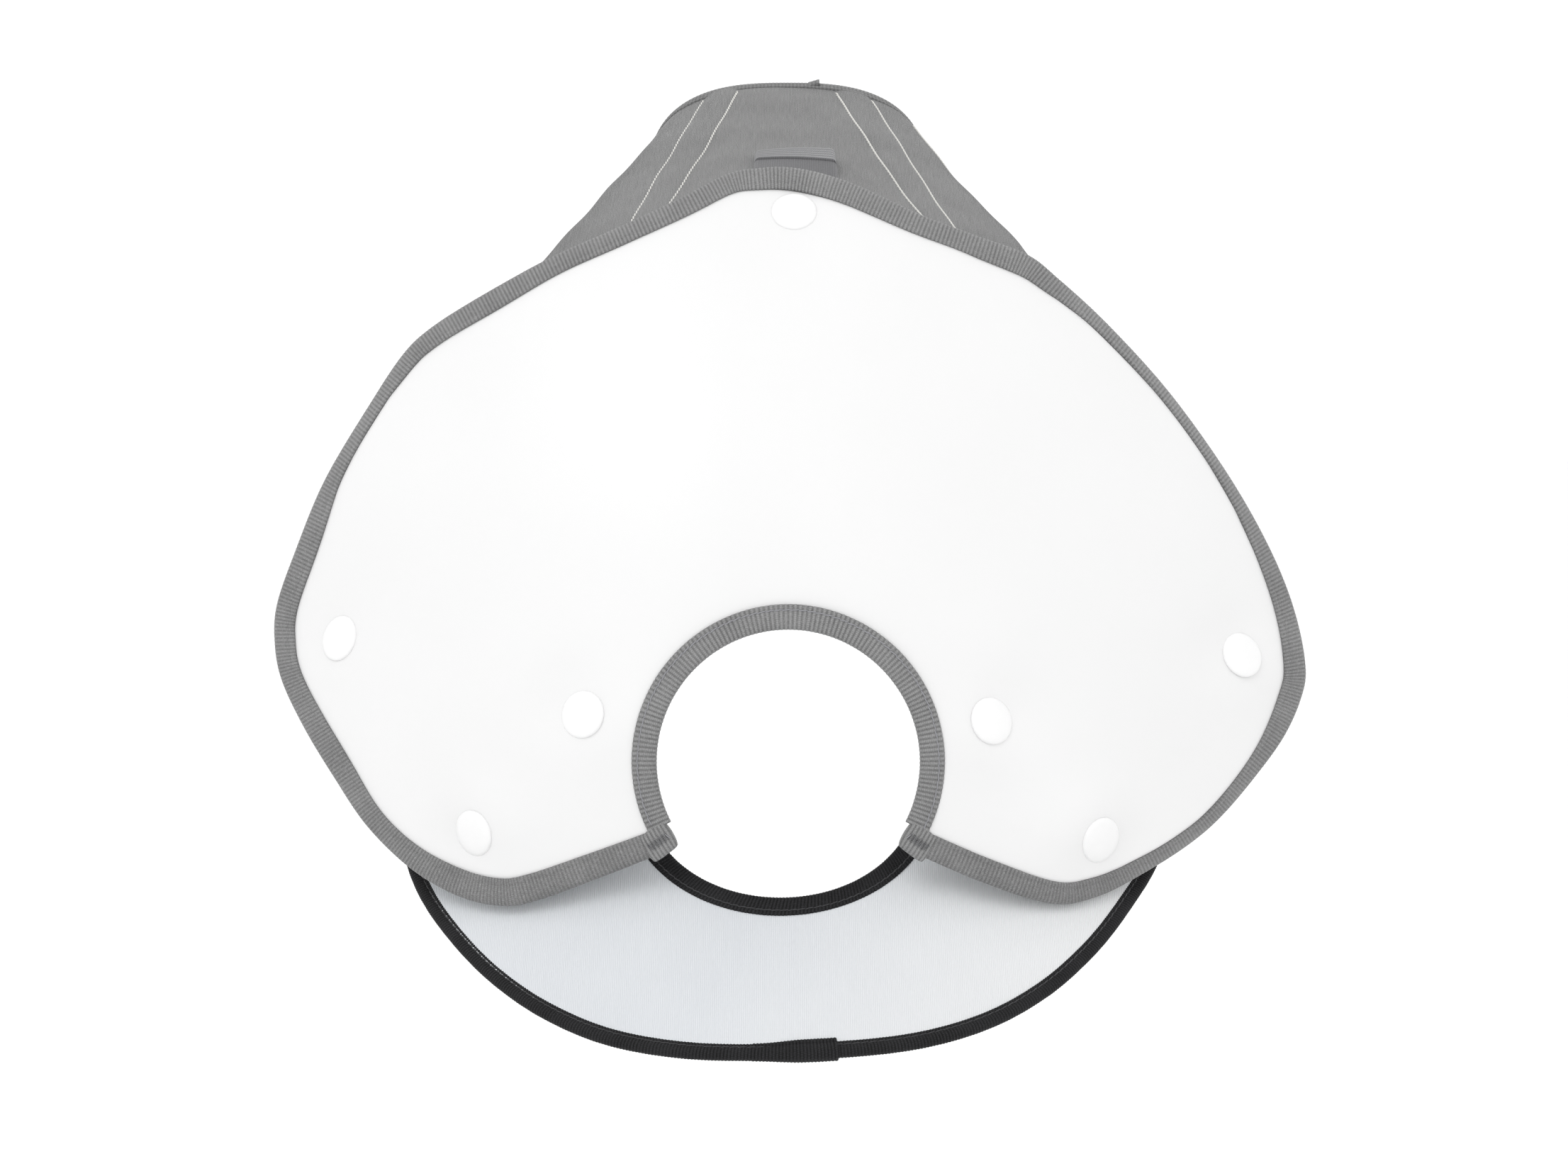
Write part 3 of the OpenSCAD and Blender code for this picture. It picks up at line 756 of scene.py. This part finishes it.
def panel_grid(arch_r, inward, rows, cols, trim=0.0):
    """Rows of flat points from the arch to the outline, moved inward."""
    outline = FINE_OUTLINE + inward * left_of(FINE_OUTLINE)
    share = np.linspace(trim, 1 - trim, rows)
    edge = outline[np.round(share * (len(outline) - 1)).astype(int)]
    a = np.radians(-ARCH_END + (180 + 2 * ARCH_END) * share)
    arch = arch_r * joined(np.cos(a), np.sin(a))
    t = np.sin(np.linspace(0, math.pi / 2, cols))[None, :, None]
    return arch[:, None] + (edge - arch)[:, None] * t


def diffuser_panel():
    flat = panel_grid(ARCH_R + 1, 1.0, 480, 48)
    points, normals = panel_frame(flat)
    from_edge, share = edge_distance(flat)
    free = np.clip(from_edge / 12 - 0.6, 0, 1)
    points = points + normals * (dimple(flat) + 0.35 * free * soft_waves(points, 150, 3))[..., None]
    curl = curl_depth(share) * np.clip(1 - from_edge / tape_shows(share), 0, 1)
    points = points + curl[..., None] * [0, 1, 0]
    sheet = shell("diffuser_panel", points, normals, -0.3, 0.3, flat, PANEL_CLOTH)
    finish_piece(sheet, CREASE, "diffusion_cloth", "diffuser_sheet", "diffuser_peak")


def inner_layer():
    flat = panel_grid(ARCH_R + 9, 12.0, 300, 24, trim=0.055)
    points, normals = panel_frame(flat)
    points = points + normals * (INNER_OFF + 0.3 * soft_waves(points, 120, 5))[..., None]
    sheet = shell("inner_layer", points, normals, -0.25, 0.25, flat, PANEL_CLOTH)
    finish_piece(sheet, CREASE, "diffusion_cloth", "inner_diffuser_sheet", "inner_tongue")


def panel_tapes():
    length = run_of(on_panel(FINE_OUTLINE))[-1]
    outline = through(OUTLINE, round(length / RIB_PITCH) * 4)
    share = np.linspace(0, 1, len(outline))
    edge = on_panel(outline) + curl_depth(share)[:, None] * [0, 1, 0]
    inner = on_panel(outline + tape_shows(share)[:, None] * left_of(outline))
    facing = unit(np.cross(inner - edge, np.gradient(edge, axis=0)))
    rib = np.interp(share, [0, 0.12, 0.35, 0.5, 0.65, 0.88, 1], [0.06, 0.07, 0.13, 0.17, 0.13, 0.07, 0.06])
    edge_tape = tape("panel_tape", edge, inner, facing, TAPE_HALF, RIB_PITCH, GREY_TAPE, rib=rib)
    finish_piece(edge_tape, CREASE, "grey_tape", "diffuser_binding", "peak_binding")
    row = stitches("panel_tape_stitches", edge + SEAM_SHARE * (inner - edge), facing, GREY_THREAD,
                   sink=TAPE_HALF * 0.9, **SEAM)
    finish_piece(row, CREASE, "grey_tape")
    count = round(2 * math.pi * ARCH_R * (180 + 2 * ARCH_END) / 360 / RIB_PITCH) * 4
    a = np.radians(np.linspace(-ARCH_END, 180 + ARCH_END, count))
    ring = joined(np.cos(a), np.sin(a))
    arch_tape = tape("arch_tape", on_panel(ARCH_R * ring), on_panel((ARCH_R + TAPE_W) * ring),
                     panel_normal(ARCH_R * ring), TAPE_HALF, RIB_PITCH, GREY_TAPE, rib=0.14)
    finish_piece(arch_tape, "diffuser", "grey_tape", "arch_binding")
    seam = (ARCH_R + SEAM_SHARE * TAPE_W) * ring
    row = stitches("arch_tape_stitches", *panel_frame(seam), GREY_THREAD, sink=TAPE_HALF * 0.9, **SEAM)
    finish_piece(row, "diffuser", "grey_tape")


def tape_corner(side):
    """The folded end where the edge tape meets the arch tape."""
    s, t = np.meshgrid(np.linspace(-1, 1, 41), np.linspace(-1, 1, 15), indexing="ij")
    squeeze = (1 - 0.12 * s**4 * t**2)[..., None]
    flat = (PAD_AT + PAD_LONG * s[..., None] * PAD_ALONG * squeeze
            + PAD_WIDE * t[..., None] * PAD_ACROSS * squeeze) * [side, 1]
    ridge = (0.5 + 0.5 * np.cos(2 * math.pi * PAD_LONG * s / RIB_PITCH)) ** 0.7
    rounding = 1 - 0.55 * np.maximum(np.abs(s), np.abs(t)) ** 6
    bulge = (1.75 * rounding + 0.14 * ridge)[..., None]
    # The ridge also sets how light each rib's crest is painted, as painted highlight.
    grid = joined(PAD_LONG * s, PAD_WIDE * t, ridge)
    return ribbed_slab("tape_corner", *panel_frame(flat), bulge, grid, GREY_TAPE)


def tape_corners():
    """The two folded ends, each bar-tacked through."""
    pads = [tape_corner(side) for side in (1, -1)]
    finish_piece(pads[0], "diffuser", "grey_tape", "tape_ends")
    finish_piece(pads[1], "diffuser", "grey_tape")
    half_length, half_width, turns = 3.2, 0.9, 25
    along = half_length * (np.linspace(0, 1, turns) - 0.5) * 2
    across = half_width * np.where(np.arange(turns) % 2, 1, -1)
    for side in (1, -1):
        zig = (PAD_AT + along[:, None] * PAD_ALONG + across[:, None]) * [side, 1]
        row = stitches("bar_tack", *panel_frame(zig), GREY_THREAD, 2.0, 0.18, 0.0, 1.8)
        finish_piece(row, "diffuser", "grey_tape")


# The snaps' turned outlines, as (radius, height off the panel's middle)
SNAP_CAP = [(0.3, -0.6), (6.5, -0.6), (6.75, -0.3), (6.8, 0.1), (6.7, 0.4), (6.4, 0.65), (5.9, 0.85),
            (4.9, 1.05), (3.6, 1.2), (1.9, 1.28), (0.2, 1.3)]
SNAP_SOCKET = [(1.75, -0.6), (5.3, -0.6), (5.5, -0.9), (5.5, -1.7), (5.1, -2.0), (3.6, -2.05), (3.3, -2.4),
               (2.5, -2.4), (2.2, -1.9), (1.75, -1.9)]
INNER_STUD = [(0.2, -2.5), (2.6, -2.5), (3.0, -2.7), (3.0, -3.8), (5.6, -3.85), (5.9, -4.2), (5.7, -4.7),
              (4.6, -5.1), (2.4, -5.2), (0.2, -5.2)]


def snaps():
    top, *sides = [panel_frame(spot) for spot in np.array(panel_spots())]
    for name, profile, top_node, side_node in (
            ("snap_cap", SNAP_CAP, "top_snap_cap", "snap_caps"),
            ("snap_socket", SNAP_SOCKET, "top_snap_socket", "snap_sockets"),
            ("inner_stud", INNER_STUD, "top_inner_stud", "inner_snap_studs")):
        one = lathe(name + "_top", [top], profile, SNAP_PLASTIC)
        finish_piece(one, "hood", "white_plastic", top_node)
        six = lathe(name + "_sides", sides, profile, SNAP_PLASTIC)
        finish_piece(six, "diffuser", "white_plastic", side_node)


# ---- the hood

HOOD_WRINKLE = 0.45
CHANNEL_RELIEF = 0.7
# Each stay's channel lies between two stitch lines: (name, degrees round the hood at its mouth and its front)
STITCH_LINES = [("left_inner", 104, 113), ("left_outer", 119.5, 119.5), ("right_inner", 76.5, 64),
                ("right_outer", 60.5, 58.5)]
SIDE_LINE = ("right_edge", 42, 40)
CHANNELS = [(STITCH_LINES[0], STITCH_LINES[1]), (STITCH_LINES[3], STITCH_LINES[2])]


def stitch_angle(line, w):
    return np.radians(line[1] + (line[2] - line[1]) * w)


def hood_surface(a, w, channels=True):
    """The hood's skin as it hangs: gently uneven, and raised a little over the stays."""
    points, normals = hood_point(a, w), hood_normal(a, w)
    fade = np.clip(w * 12, 0, 1) * np.clip((1 - w) * 10, 0, 1)
    lift = HOOD_WRINKLE * fade * soft_waves(points * [1, 0.45, 1], 38, 11)
    if channels:
        for low, high in CHANNELS:
            start, stop = stitch_angle(low, w), stitch_angle(high, w)
            across = np.clip(2 * (a - start) / (stop - start) - 1, -1, 1)
            lift = lift + CHANNEL_RELIEF * (1 - across**4)
    return points + normals * lift[..., None], normals


def hood_grid(start, stop, rows, ws):
    a = np.radians(np.linspace(start, stop, rows))[:, None] + 0 * ws[None, :]
    return a, ws[None, :] + 0 * a


def hood_ring(rows, ws):
    """A grid that goes all the way round the hood."""
    a, w = hood_grid(0, 360, rows + 1, ws)
    return a[:-1], w[:-1]


def hood_pattern(a, w):
    return joined(a * SKIRT, w * DEPTH)


def hood_panel(name, start, stop, rows, plane, node):
    points, normals = hood_surface(*hood_grid(start, stop, rows, np.linspace(0, 1, 64)))
    sheet = shell(name, points, normals, -0.4, 0.4, points[..., plane], HOOD_CLOTH)
    finish_piece(sheet, "hood", "hood_cloth", node)


def hood_skin():
    hood_panel("hood_top_cloth", 45, 135, 180, [0, 1], "hood_top")
    hood_panel("hood_left_cloth", 135, 225, 50, [2, 1], "hood_left_side")
    hood_panel("hood_right_cloth", -45, 45, 50, [2, 1], "hood_right_side")
    hood_panel("hood_bottom_cloth", 225, 315, 70, [0, 1], "hood_bottom")


def hood_lining(inward=1.9):
    a, w = hood_ring(180, np.linspace(0.02, 0.97, 40))
    points, normals = hood_surface(a, w, channels=False)
    points = points - inward * normals
    sheet = shell("hood_lining_cloth", points, normals, -0.25, 0.25, hood_pattern(a, w), LINING_CLOTH,
                  closed=True)
    finish_piece(sheet, "hood", "hood_lining_cloth", "hood_lining")


def stays(spread=4.5):
    """The two flat spring strips, in their channels between the skin and the lining."""
    for name, middle in (("left_stay", 114), ("right_stay", 66)):
        a, w = hood_grid(middle - spread, middle + spread, 13, np.linspace(0.05, 0.9, 30))
        points, normals = hood_surface(a, w, channels=False)
        strip = shell(name + "_strip", points, normals, -1.3, -0.7, hood_pattern(a, w), STAY_PLASTIC)
        finish_piece(strip, "hood", "stay_plastic", name)


def channel_stitches():
    """The white stitch lines that hold the two stays in their channels, and a short one on the right side."""
    runs = [(line, np.linspace(0.05, 0.985, 160)) for line in STITCH_LINES]
    for line, w in runs + [(SIDE_LINE, np.linspace(0.12, 0.5, 60))]:
        points, normals = hood_surface(stitch_angle(line, w), w)
        row = stitches("channel_stitch_" + line[0], points, normals, WHITE_THREAD, 2.6, 0.28, 0.5, 0.33)
        finish_piece(row, "hood", "hood_cloth")


def mouth_edge(inward=0.85):
    """The tape round the mouth, and its end, sewn down over its beginning."""
    count = 4 * round(run_of(mouth(np.radians(np.linspace(0, 360, 400))))[-1] / RIB_PITCH)
    fine = np.radians(np.linspace(0, 360, 4000))
    ring = even(np.column_stack([fine, mouth(fine)]), 4000)
    run = run_of(mouth(ring[:, 0]))
    a = np.interp(np.linspace(0, run[-1], count + 1)[:-1], run, ring[:, 0])
    w = np.full_like(a, -MOUTH_TAPE_OUT)
    normals = hood_normal(a, w)
    edge = hood_point(a, w) - inward * normals
    inner = hood_point(a, w + MOUTH_TAPE_DEEP) - inward * normals
    # The band takes the darker copy of the grey tape: painted shade.
    band = tape("mouth_tape", edge, inner, normals, 1.75, RIB_PITCH, SHADED_MOUTH_TAPE, closed=True, rib=0.1)
    finish_piece(band, "hood", "grey_tape", "mouth_binding")
    a = np.radians(np.linspace(82, 85.5, 21))
    w = np.full_like(a, -0.015)
    normals = hood_normal(a, w)
    tilt = np.linspace(0.8, -0.4, 21)[:, None] * normals
    flap = tape("mouth_tape_end", hood_point(a, w) + tilt, hood_point(a, w + 0.04) + tilt, normals, 1.4,
                RIB_PITCH, SHADED_MOUTH_TAPE, rib=0.1)
    finish_piece(flap, "hood", "grey_tape")


def grip_band():
    """The band inside the mouth that grips the flash head."""
    a, w = hood_ring(144, np.linspace(0.05, 0.24, 10))
    band = shell("grip_band", hood_point(a, w), hood_normal(a, w), -3.0, -2.3, hood_pattern(a, w), HOOK_LOOP,
                 closed=True)
    finish_piece(band, "hood", "hook_loop", "mouth_grip_band")


def ridges(turns):
    """The relief of a webbing's ribs, 0 to 1 and back once each turn; it also sets how light each rib is
    painted, as painted highlight.
    """
    return (0.5 - 0.5 * np.cos(2 * math.pi * turns)) ** 0.6


def ribbed_strap(name, degrees, rows, sides, lift, thickness, ribs, material):
    """A flat strap round the hood between those degrees and shares of its depth, with ribs along it."""
    a, w = hood_grid(*degrees, rows, np.linspace(*sides, ribs * 6 + 1))
    normals = hood_normal(a, w)
    ridge = ridges(ribs * (w - sides[0]) / (sides[1] - sides[0]))
    points = hood_surface(a, w)[0] + lift * normals
    half = thickness / 2 + 0.18 * ridge[..., None]
    grid = joined(np.degrees(a), w * DEPTH, ridge)
    return ribbed_slab(name, points, normals, half, grid, material)


def webbing_loop():
    """A short loop of webbing that stands off the hood, highest near its right end, with a lower layer of
    webbing under it whose grey stands in for the shade there: painted shade.
    """
    length, rows = 26, 70
    share = np.linspace(0, 1, rows)
    count = LOOP_RIBS * 6 + 1
    ends = [(np.full(count, math.radians(a)), np.linspace(back, LOOP_FRONT, count))
            for a, back in zip(LOOP_ENDS, LOOP_BACKS)]
    feet = [hood_point(a, w) for a, w in ends]
    up = unit(hood_normal(*ends[0]) + hood_normal(*ends[1]))[None]
    chord = feet[0] + (feet[1] - feet[0]) * share[:, None, None]
    stand = (3.7 - 2.0 * share) * (1 - np.abs(2 * share - 1) ** 30) + 0.6 * np.sin(math.pi * share)
    ridge = ridges(np.linspace(0, LOOP_RIBS, count))
    points = chord + (0.3 + stand)[:, None, None] * up
    along, across = share[:, None] * length, ends[0][1] * DEPTH
    grid = joined(along, across, ridge)
    strap = ribbed_slab("webbing_loop_strap", points, up, 0.5 + 0.2 * ridge[None, :, None], grid, WEBBING)
    finish_piece(strap, "hood", "grey_tape", "webbing_loop")
    # The lower layer: a grey webbing sheet from the strap's front edge down to the hood, that fills the
    # shadow under the loop as painted shade.
    root = hood_point(np.linspace(*np.radians(LOOP_ENDS), rows), np.full(rows, 0.95))
    fall = np.linspace(0, 1, 12)[None, :, None]
    lift = up[:, -1:]
    lower = points[:, -1:] - 0.4 * lift + (root[:, None] + 0.6 * lift - points[:, -1:]) * fall
    outward = unit(np.cross(np.gradient(lower, axis=1), np.gradient(lower, axis=0)))
    flat = joined(along, fall[0, :, 0] * 8)
    finish_piece(shell("webbing_loop_shade_fold", lower, outward, -0.3, 0.3, flat, WEBBING), "hood", "grey_tape")


def cinch():
    """The strap under the mouth, and its tail, whose hooks grip a patch of loops."""
    strap = ribbed_strap("cinch_webbing", (232, 281.5), 70, STRAP_SIDES, 1.15, 0.9, STRAP_RIBS, WEBBING)
    finish_piece(strap, "hood", "grey_tape", "cinch_strap")
    patch = ribbed_strap("cinch_loop_patch", (283, 308), 40, (0.085, 0.335), 0.95, 0.6, 1, HOOK_LOOP)
    finish_piece(patch, "hood", "hook_loop", "strap_loop_patch")
    tail = ribbed_strap("cinch_tail", (283, 306), 50, STRAP_SIDES, 3.25, 0.8, STRAP_RIBS, WEBBING)
    finish_piece(tail, "strap_tail", "grey_tape", "strap_tail")
    hooks = ribbed_strap("cinch_hooks", (285, 304), 30, (0.1, 0.32), 2.4, 0.4, 1, HOOK_LOOP)
    finish_piece(hooks, "strap_tail", "hook_loop", "tail_hook_patch")


# ---- the reflector disc

def disc_sheet(name, low, high, material, slot_name, node, seed):
    share = np.linspace(0, 1, 241)[:-1]
    inner, outer = lens_hole(share, 1.0), rim(share, DISC_R - DISC_CLOTH_INSET)
    t = np.linspace(0, 1, 34)[None, :, None]
    flat = inner[:, None] + (outer - inner)[:, None] * t
    points, normals = disc_frame(flat)
    points = points + normals * (0.25 * soft_waves(points, 110, seed))[..., None]
    sheet = shell(name, points, normals, low, high, flat, material, closed=True)
    finish_piece(sheet, "reflector", slot_name, node)


def disc_tape(name, line, length, width, half, rib, profile, seam_share, seam_points, sink, node):
    """Tape over one of the disc's two edges, and its stitches. line(t, d) is that edge, d inside it."""
    t = np.linspace(0, 1, round(length / DISC_RIB) * 4 + 1)[:-1]
    edge, inner = line(t, 0), line(t, width)
    band = tape(name + "_tape", on_disc(edge), on_disc(inner), disc_normal(edge), half, DISC_RIB, BLACK_TAPE,
                profile, closed=True, rib=rib)
    finish_piece(band, "reflector", "black_tape", node)
    seam = line(np.linspace(0, 1, seam_points), seam_share * width)
    row = stitches(name + "_stitches", *disc_frame(seam), BLACK_THREAD, sink=sink, **SEAM)
    finish_piece(row, "reflector", "black_tape")


def disc_tapes():
    disc_tape("rim", lambda t, d: rim(t, DISC_R - d), 2 * math.pi * DISC_R, DISC_TAPE, DISC_TAPE_HALF, 0.17,
              WIRED_TAPE, RIM_SEAM_SHARE, 900, 0.75, "reflector_binding")
    around_hole = 2 * math.pi * HOLE_R + 2 * HOLE_STRETCH
    disc_tape("lens_hole", lens_hole, around_hole, HOLE_TAPE, HOLE_TAPE_HALF, 0.15,
              FLAT_TAPE, SEAM_SHARE, 600, 0.9, "lens_hole_binding")


def rim_overlap():
    """Where the rim tape's end is folded under and sewn over its beginning: it swells towards the right."""
    low, high = -0.5 * math.pi - OVERLAP_LEFT / DISC_R, -0.5 * math.pi + OVERLAP_RIGHT / DISC_R
    a = np.linspace(low, high, round((OVERLAP_LEFT + OVERLAP_RIGHT) / DISC_RIB) * 4)
    edge = joined(np.cos(a), np.sin(a))
    swell = np.clip((a - low) / (high - low) * 1.5, 0, 1)
    swell = swell**2 * (3 - 2 * swell)
    outer = rim_r(a, DISC_R) + 0.1 + 0.5 * swell
    inner = rim_r(a, DISC_R - DISC_TAPE) - 0.15 - 0.9 * swell
    over = tape("rim_tape_overlap", on_disc(edge * outer[:, None]), on_disc(edge * inner[:, None]),
                disc_normal(edge * DISC_R) * (1.04 + 0.45 * swell)[:, None], DISC_TAPE_HALF, DISC_RIB,
                BLACK_TAPE, WIRED_TAPE, rib=0.17)
    finish_piece(over, "reflector", "black_tape", "binding_overlap")


def disc_hinge():
    """The cloth hinge from the hood's bottom to the back of the disc."""
    x = np.linspace(-HANGER_HALF, HANGER_HALF, 61)
    back = disc_normal(joined(x, DISC_R - 10)) * -2.4
    down = [on_disc(joined(x, DISC_R - inset)) + back for inset in (20, 4)]
    bend = joined(x, HINGE[1] / MM, HINGE[2] / MM)
    a = np.radians(270 + 0.62 * x)
    up = [hood_point(a, np.full_like(a, w)) + 1.2 * hood_normal(a, np.full_like(a, w)) for w in (0.95, 0.72)]
    stations = np.stack([*down, bend, *up], axis=1)
    rows = np.stack([through(s, 40) for s in stations])
    normals = unit(np.cross(np.gradient(rows, axis=0), np.gradient(rows, axis=1)))
    coords = joined(x[:, None], np.linspace(0, 40, 40))
    strip = shell("disc_hinge_cloth", rows, normals, -0.45, 0.45, coords, BACKING_CLOTH)
    finish_piece(strip, HANG, "black_tape", "reflector_hanger", "reflector_tab")


def round_bar(name, path, normals, radius, closed):
    """A round bar along a path."""
    turns = np.arange(16)[:, None] * math.pi / 8
    side = unit(np.cross(normals, np.gradient(path, axis=0)))
    rings = path[:, None] + radius * (np.cos(turns) * side[:, None] + np.sin(turns) * normals[:, None])
    coords = np.broadcast_to(run_of(path)[:, None, None], rings.shape)
    return loft(name, rings, coords, SPRING_STEEL, closed)


def hoop():
    """The sprung wire in the rim's tape and the sleeve that joins its ends at the bottom."""
    path = rim(np.linspace(0, 1, 721)[:-1], DISC_R - WIRE_D)
    wire = round_bar("sprung_wire", *disc_frame(path), WIRE_D / 2, closed=True)
    finish_piece(wire, "reflector", "spring_steel", "reflector_hoop")
    shift = np.linspace(-SLEEVE_LEFT, SLEEVE_RIGHT, 12) / (2 * math.pi * DISC_R)
    path = rim(0.75 + shift, DISC_R - WIRE_D)
    sleeve = round_bar("wire_sleeve", *disc_frame(path), WIRE_D / 2 + 0.5, closed=False)
    finish_piece(sleeve, "reflector", "spring_steel", "hoop_ferrule")


# ---- camera, light and floor

CAMERA_BACK = 1000
CAMERA_DOWN = math.radians(4)
AIM = np.array([-1.2, 0, 49.5])
FOCAL_SHARE = 2.2604  # focal length over the frame's width
SENSOR = 36
LIGHT_AIM = Vector((0, 0.05, 0.05))
FLOOR_Z, FLOOR_HALF = -0.32, 12  # in metres
WORLD_STRENGTH = 1.06


def set_camera():
    camera = bpy.data.objects.new("camera", bpy.data.cameras.new("camera"))
    bpy.context.scene.collection.objects.link(camera)
    back = np.array([0, -math.cos(CAMERA_DOWN), math.sin(CAMERA_DOWN)])
    camera.location = (AIM + CAMERA_BACK * back) * MM
    camera.rotation_euler = (math.pi / 2 - CAMERA_DOWN, 0, 0)
    camera.data.sensor_width = SENSOR
    camera.data.lens = SENSOR * FOCAL_SHARE
    camera.data.clip_start, camera.data.clip_end = 0.01, 50
    bpy.context.scene.camera = camera


def add_light(name, place, size, power_w):
    light = bpy.data.lights.new(name, "AREA")
    light.shape, light.size, light.energy = "DISK", size, power_w
    obj = bpy.data.objects.new(name, light)
    obj.location = place
    obj.rotation_euler = (LIGHT_AIM - Vector(place)).to_track_quat("-Z", "Y").to_euler()
    bpy.context.scene.collection.objects.link(obj)


def set_stage():
    floor = bpy.data.meshes.new("floor")
    z, s = FLOOR_Z, FLOOR_HALF
    floor.from_pydata([(-s, -s, z), (s, -s, z), (s, s, z), (-s, s, z)], [], [(0, 1, 2, 3)])
    obj = bpy.data.objects.new("floor", floor)
    bpy.context.scene.collection.objects.link(obj)
    pale = bpy.data.materials.new("floor_pale")
    pale.use_nodes = True
    set_inputs(pale.node_tree.nodes["Principled BSDF"], Base_Color=(0.96, 0.96, 0.96, 1), Roughness=0.9)
    floor.materials.append(pale)
    world = bpy.data.worlds.new("world")
    world.use_nodes = True
    set_inputs(world.node_tree.nodes["Background"], Color=(1, 1, 1, 1), Strength=WORLD_STRENGTH)
    bpy.context.scene.world = world
    add_light("key", (-0.7, -1.3, 1.6), 1.2, 9)
    add_light("fill", (1.4, -1.2, 0.7), 1.4, 1.5)
    bpy.context.scene.view_settings.view_transform = "Standard"


set_camera()
set_stage()
diffuser_panel()
inner_layer()
panel_tapes()
tape_corners()
snaps()
hood_skin()
hood_lining()
stays()
channel_stitches()
mouth_edge()
grip_band()
webbing_loop()
cinch()
disc_sheet("reflector_face_cloth", 0.1, 0.6, FACE_CLOTH, "reflector_cloth", "reflector_face", 7)
disc_sheet("reflector_back_cloth", -0.6, -0.1, BACKING_CLOTH, "backing_cloth", "reflector_backing", 7)
disc_tapes()
rim_overlap()
disc_hinge()
hoop()
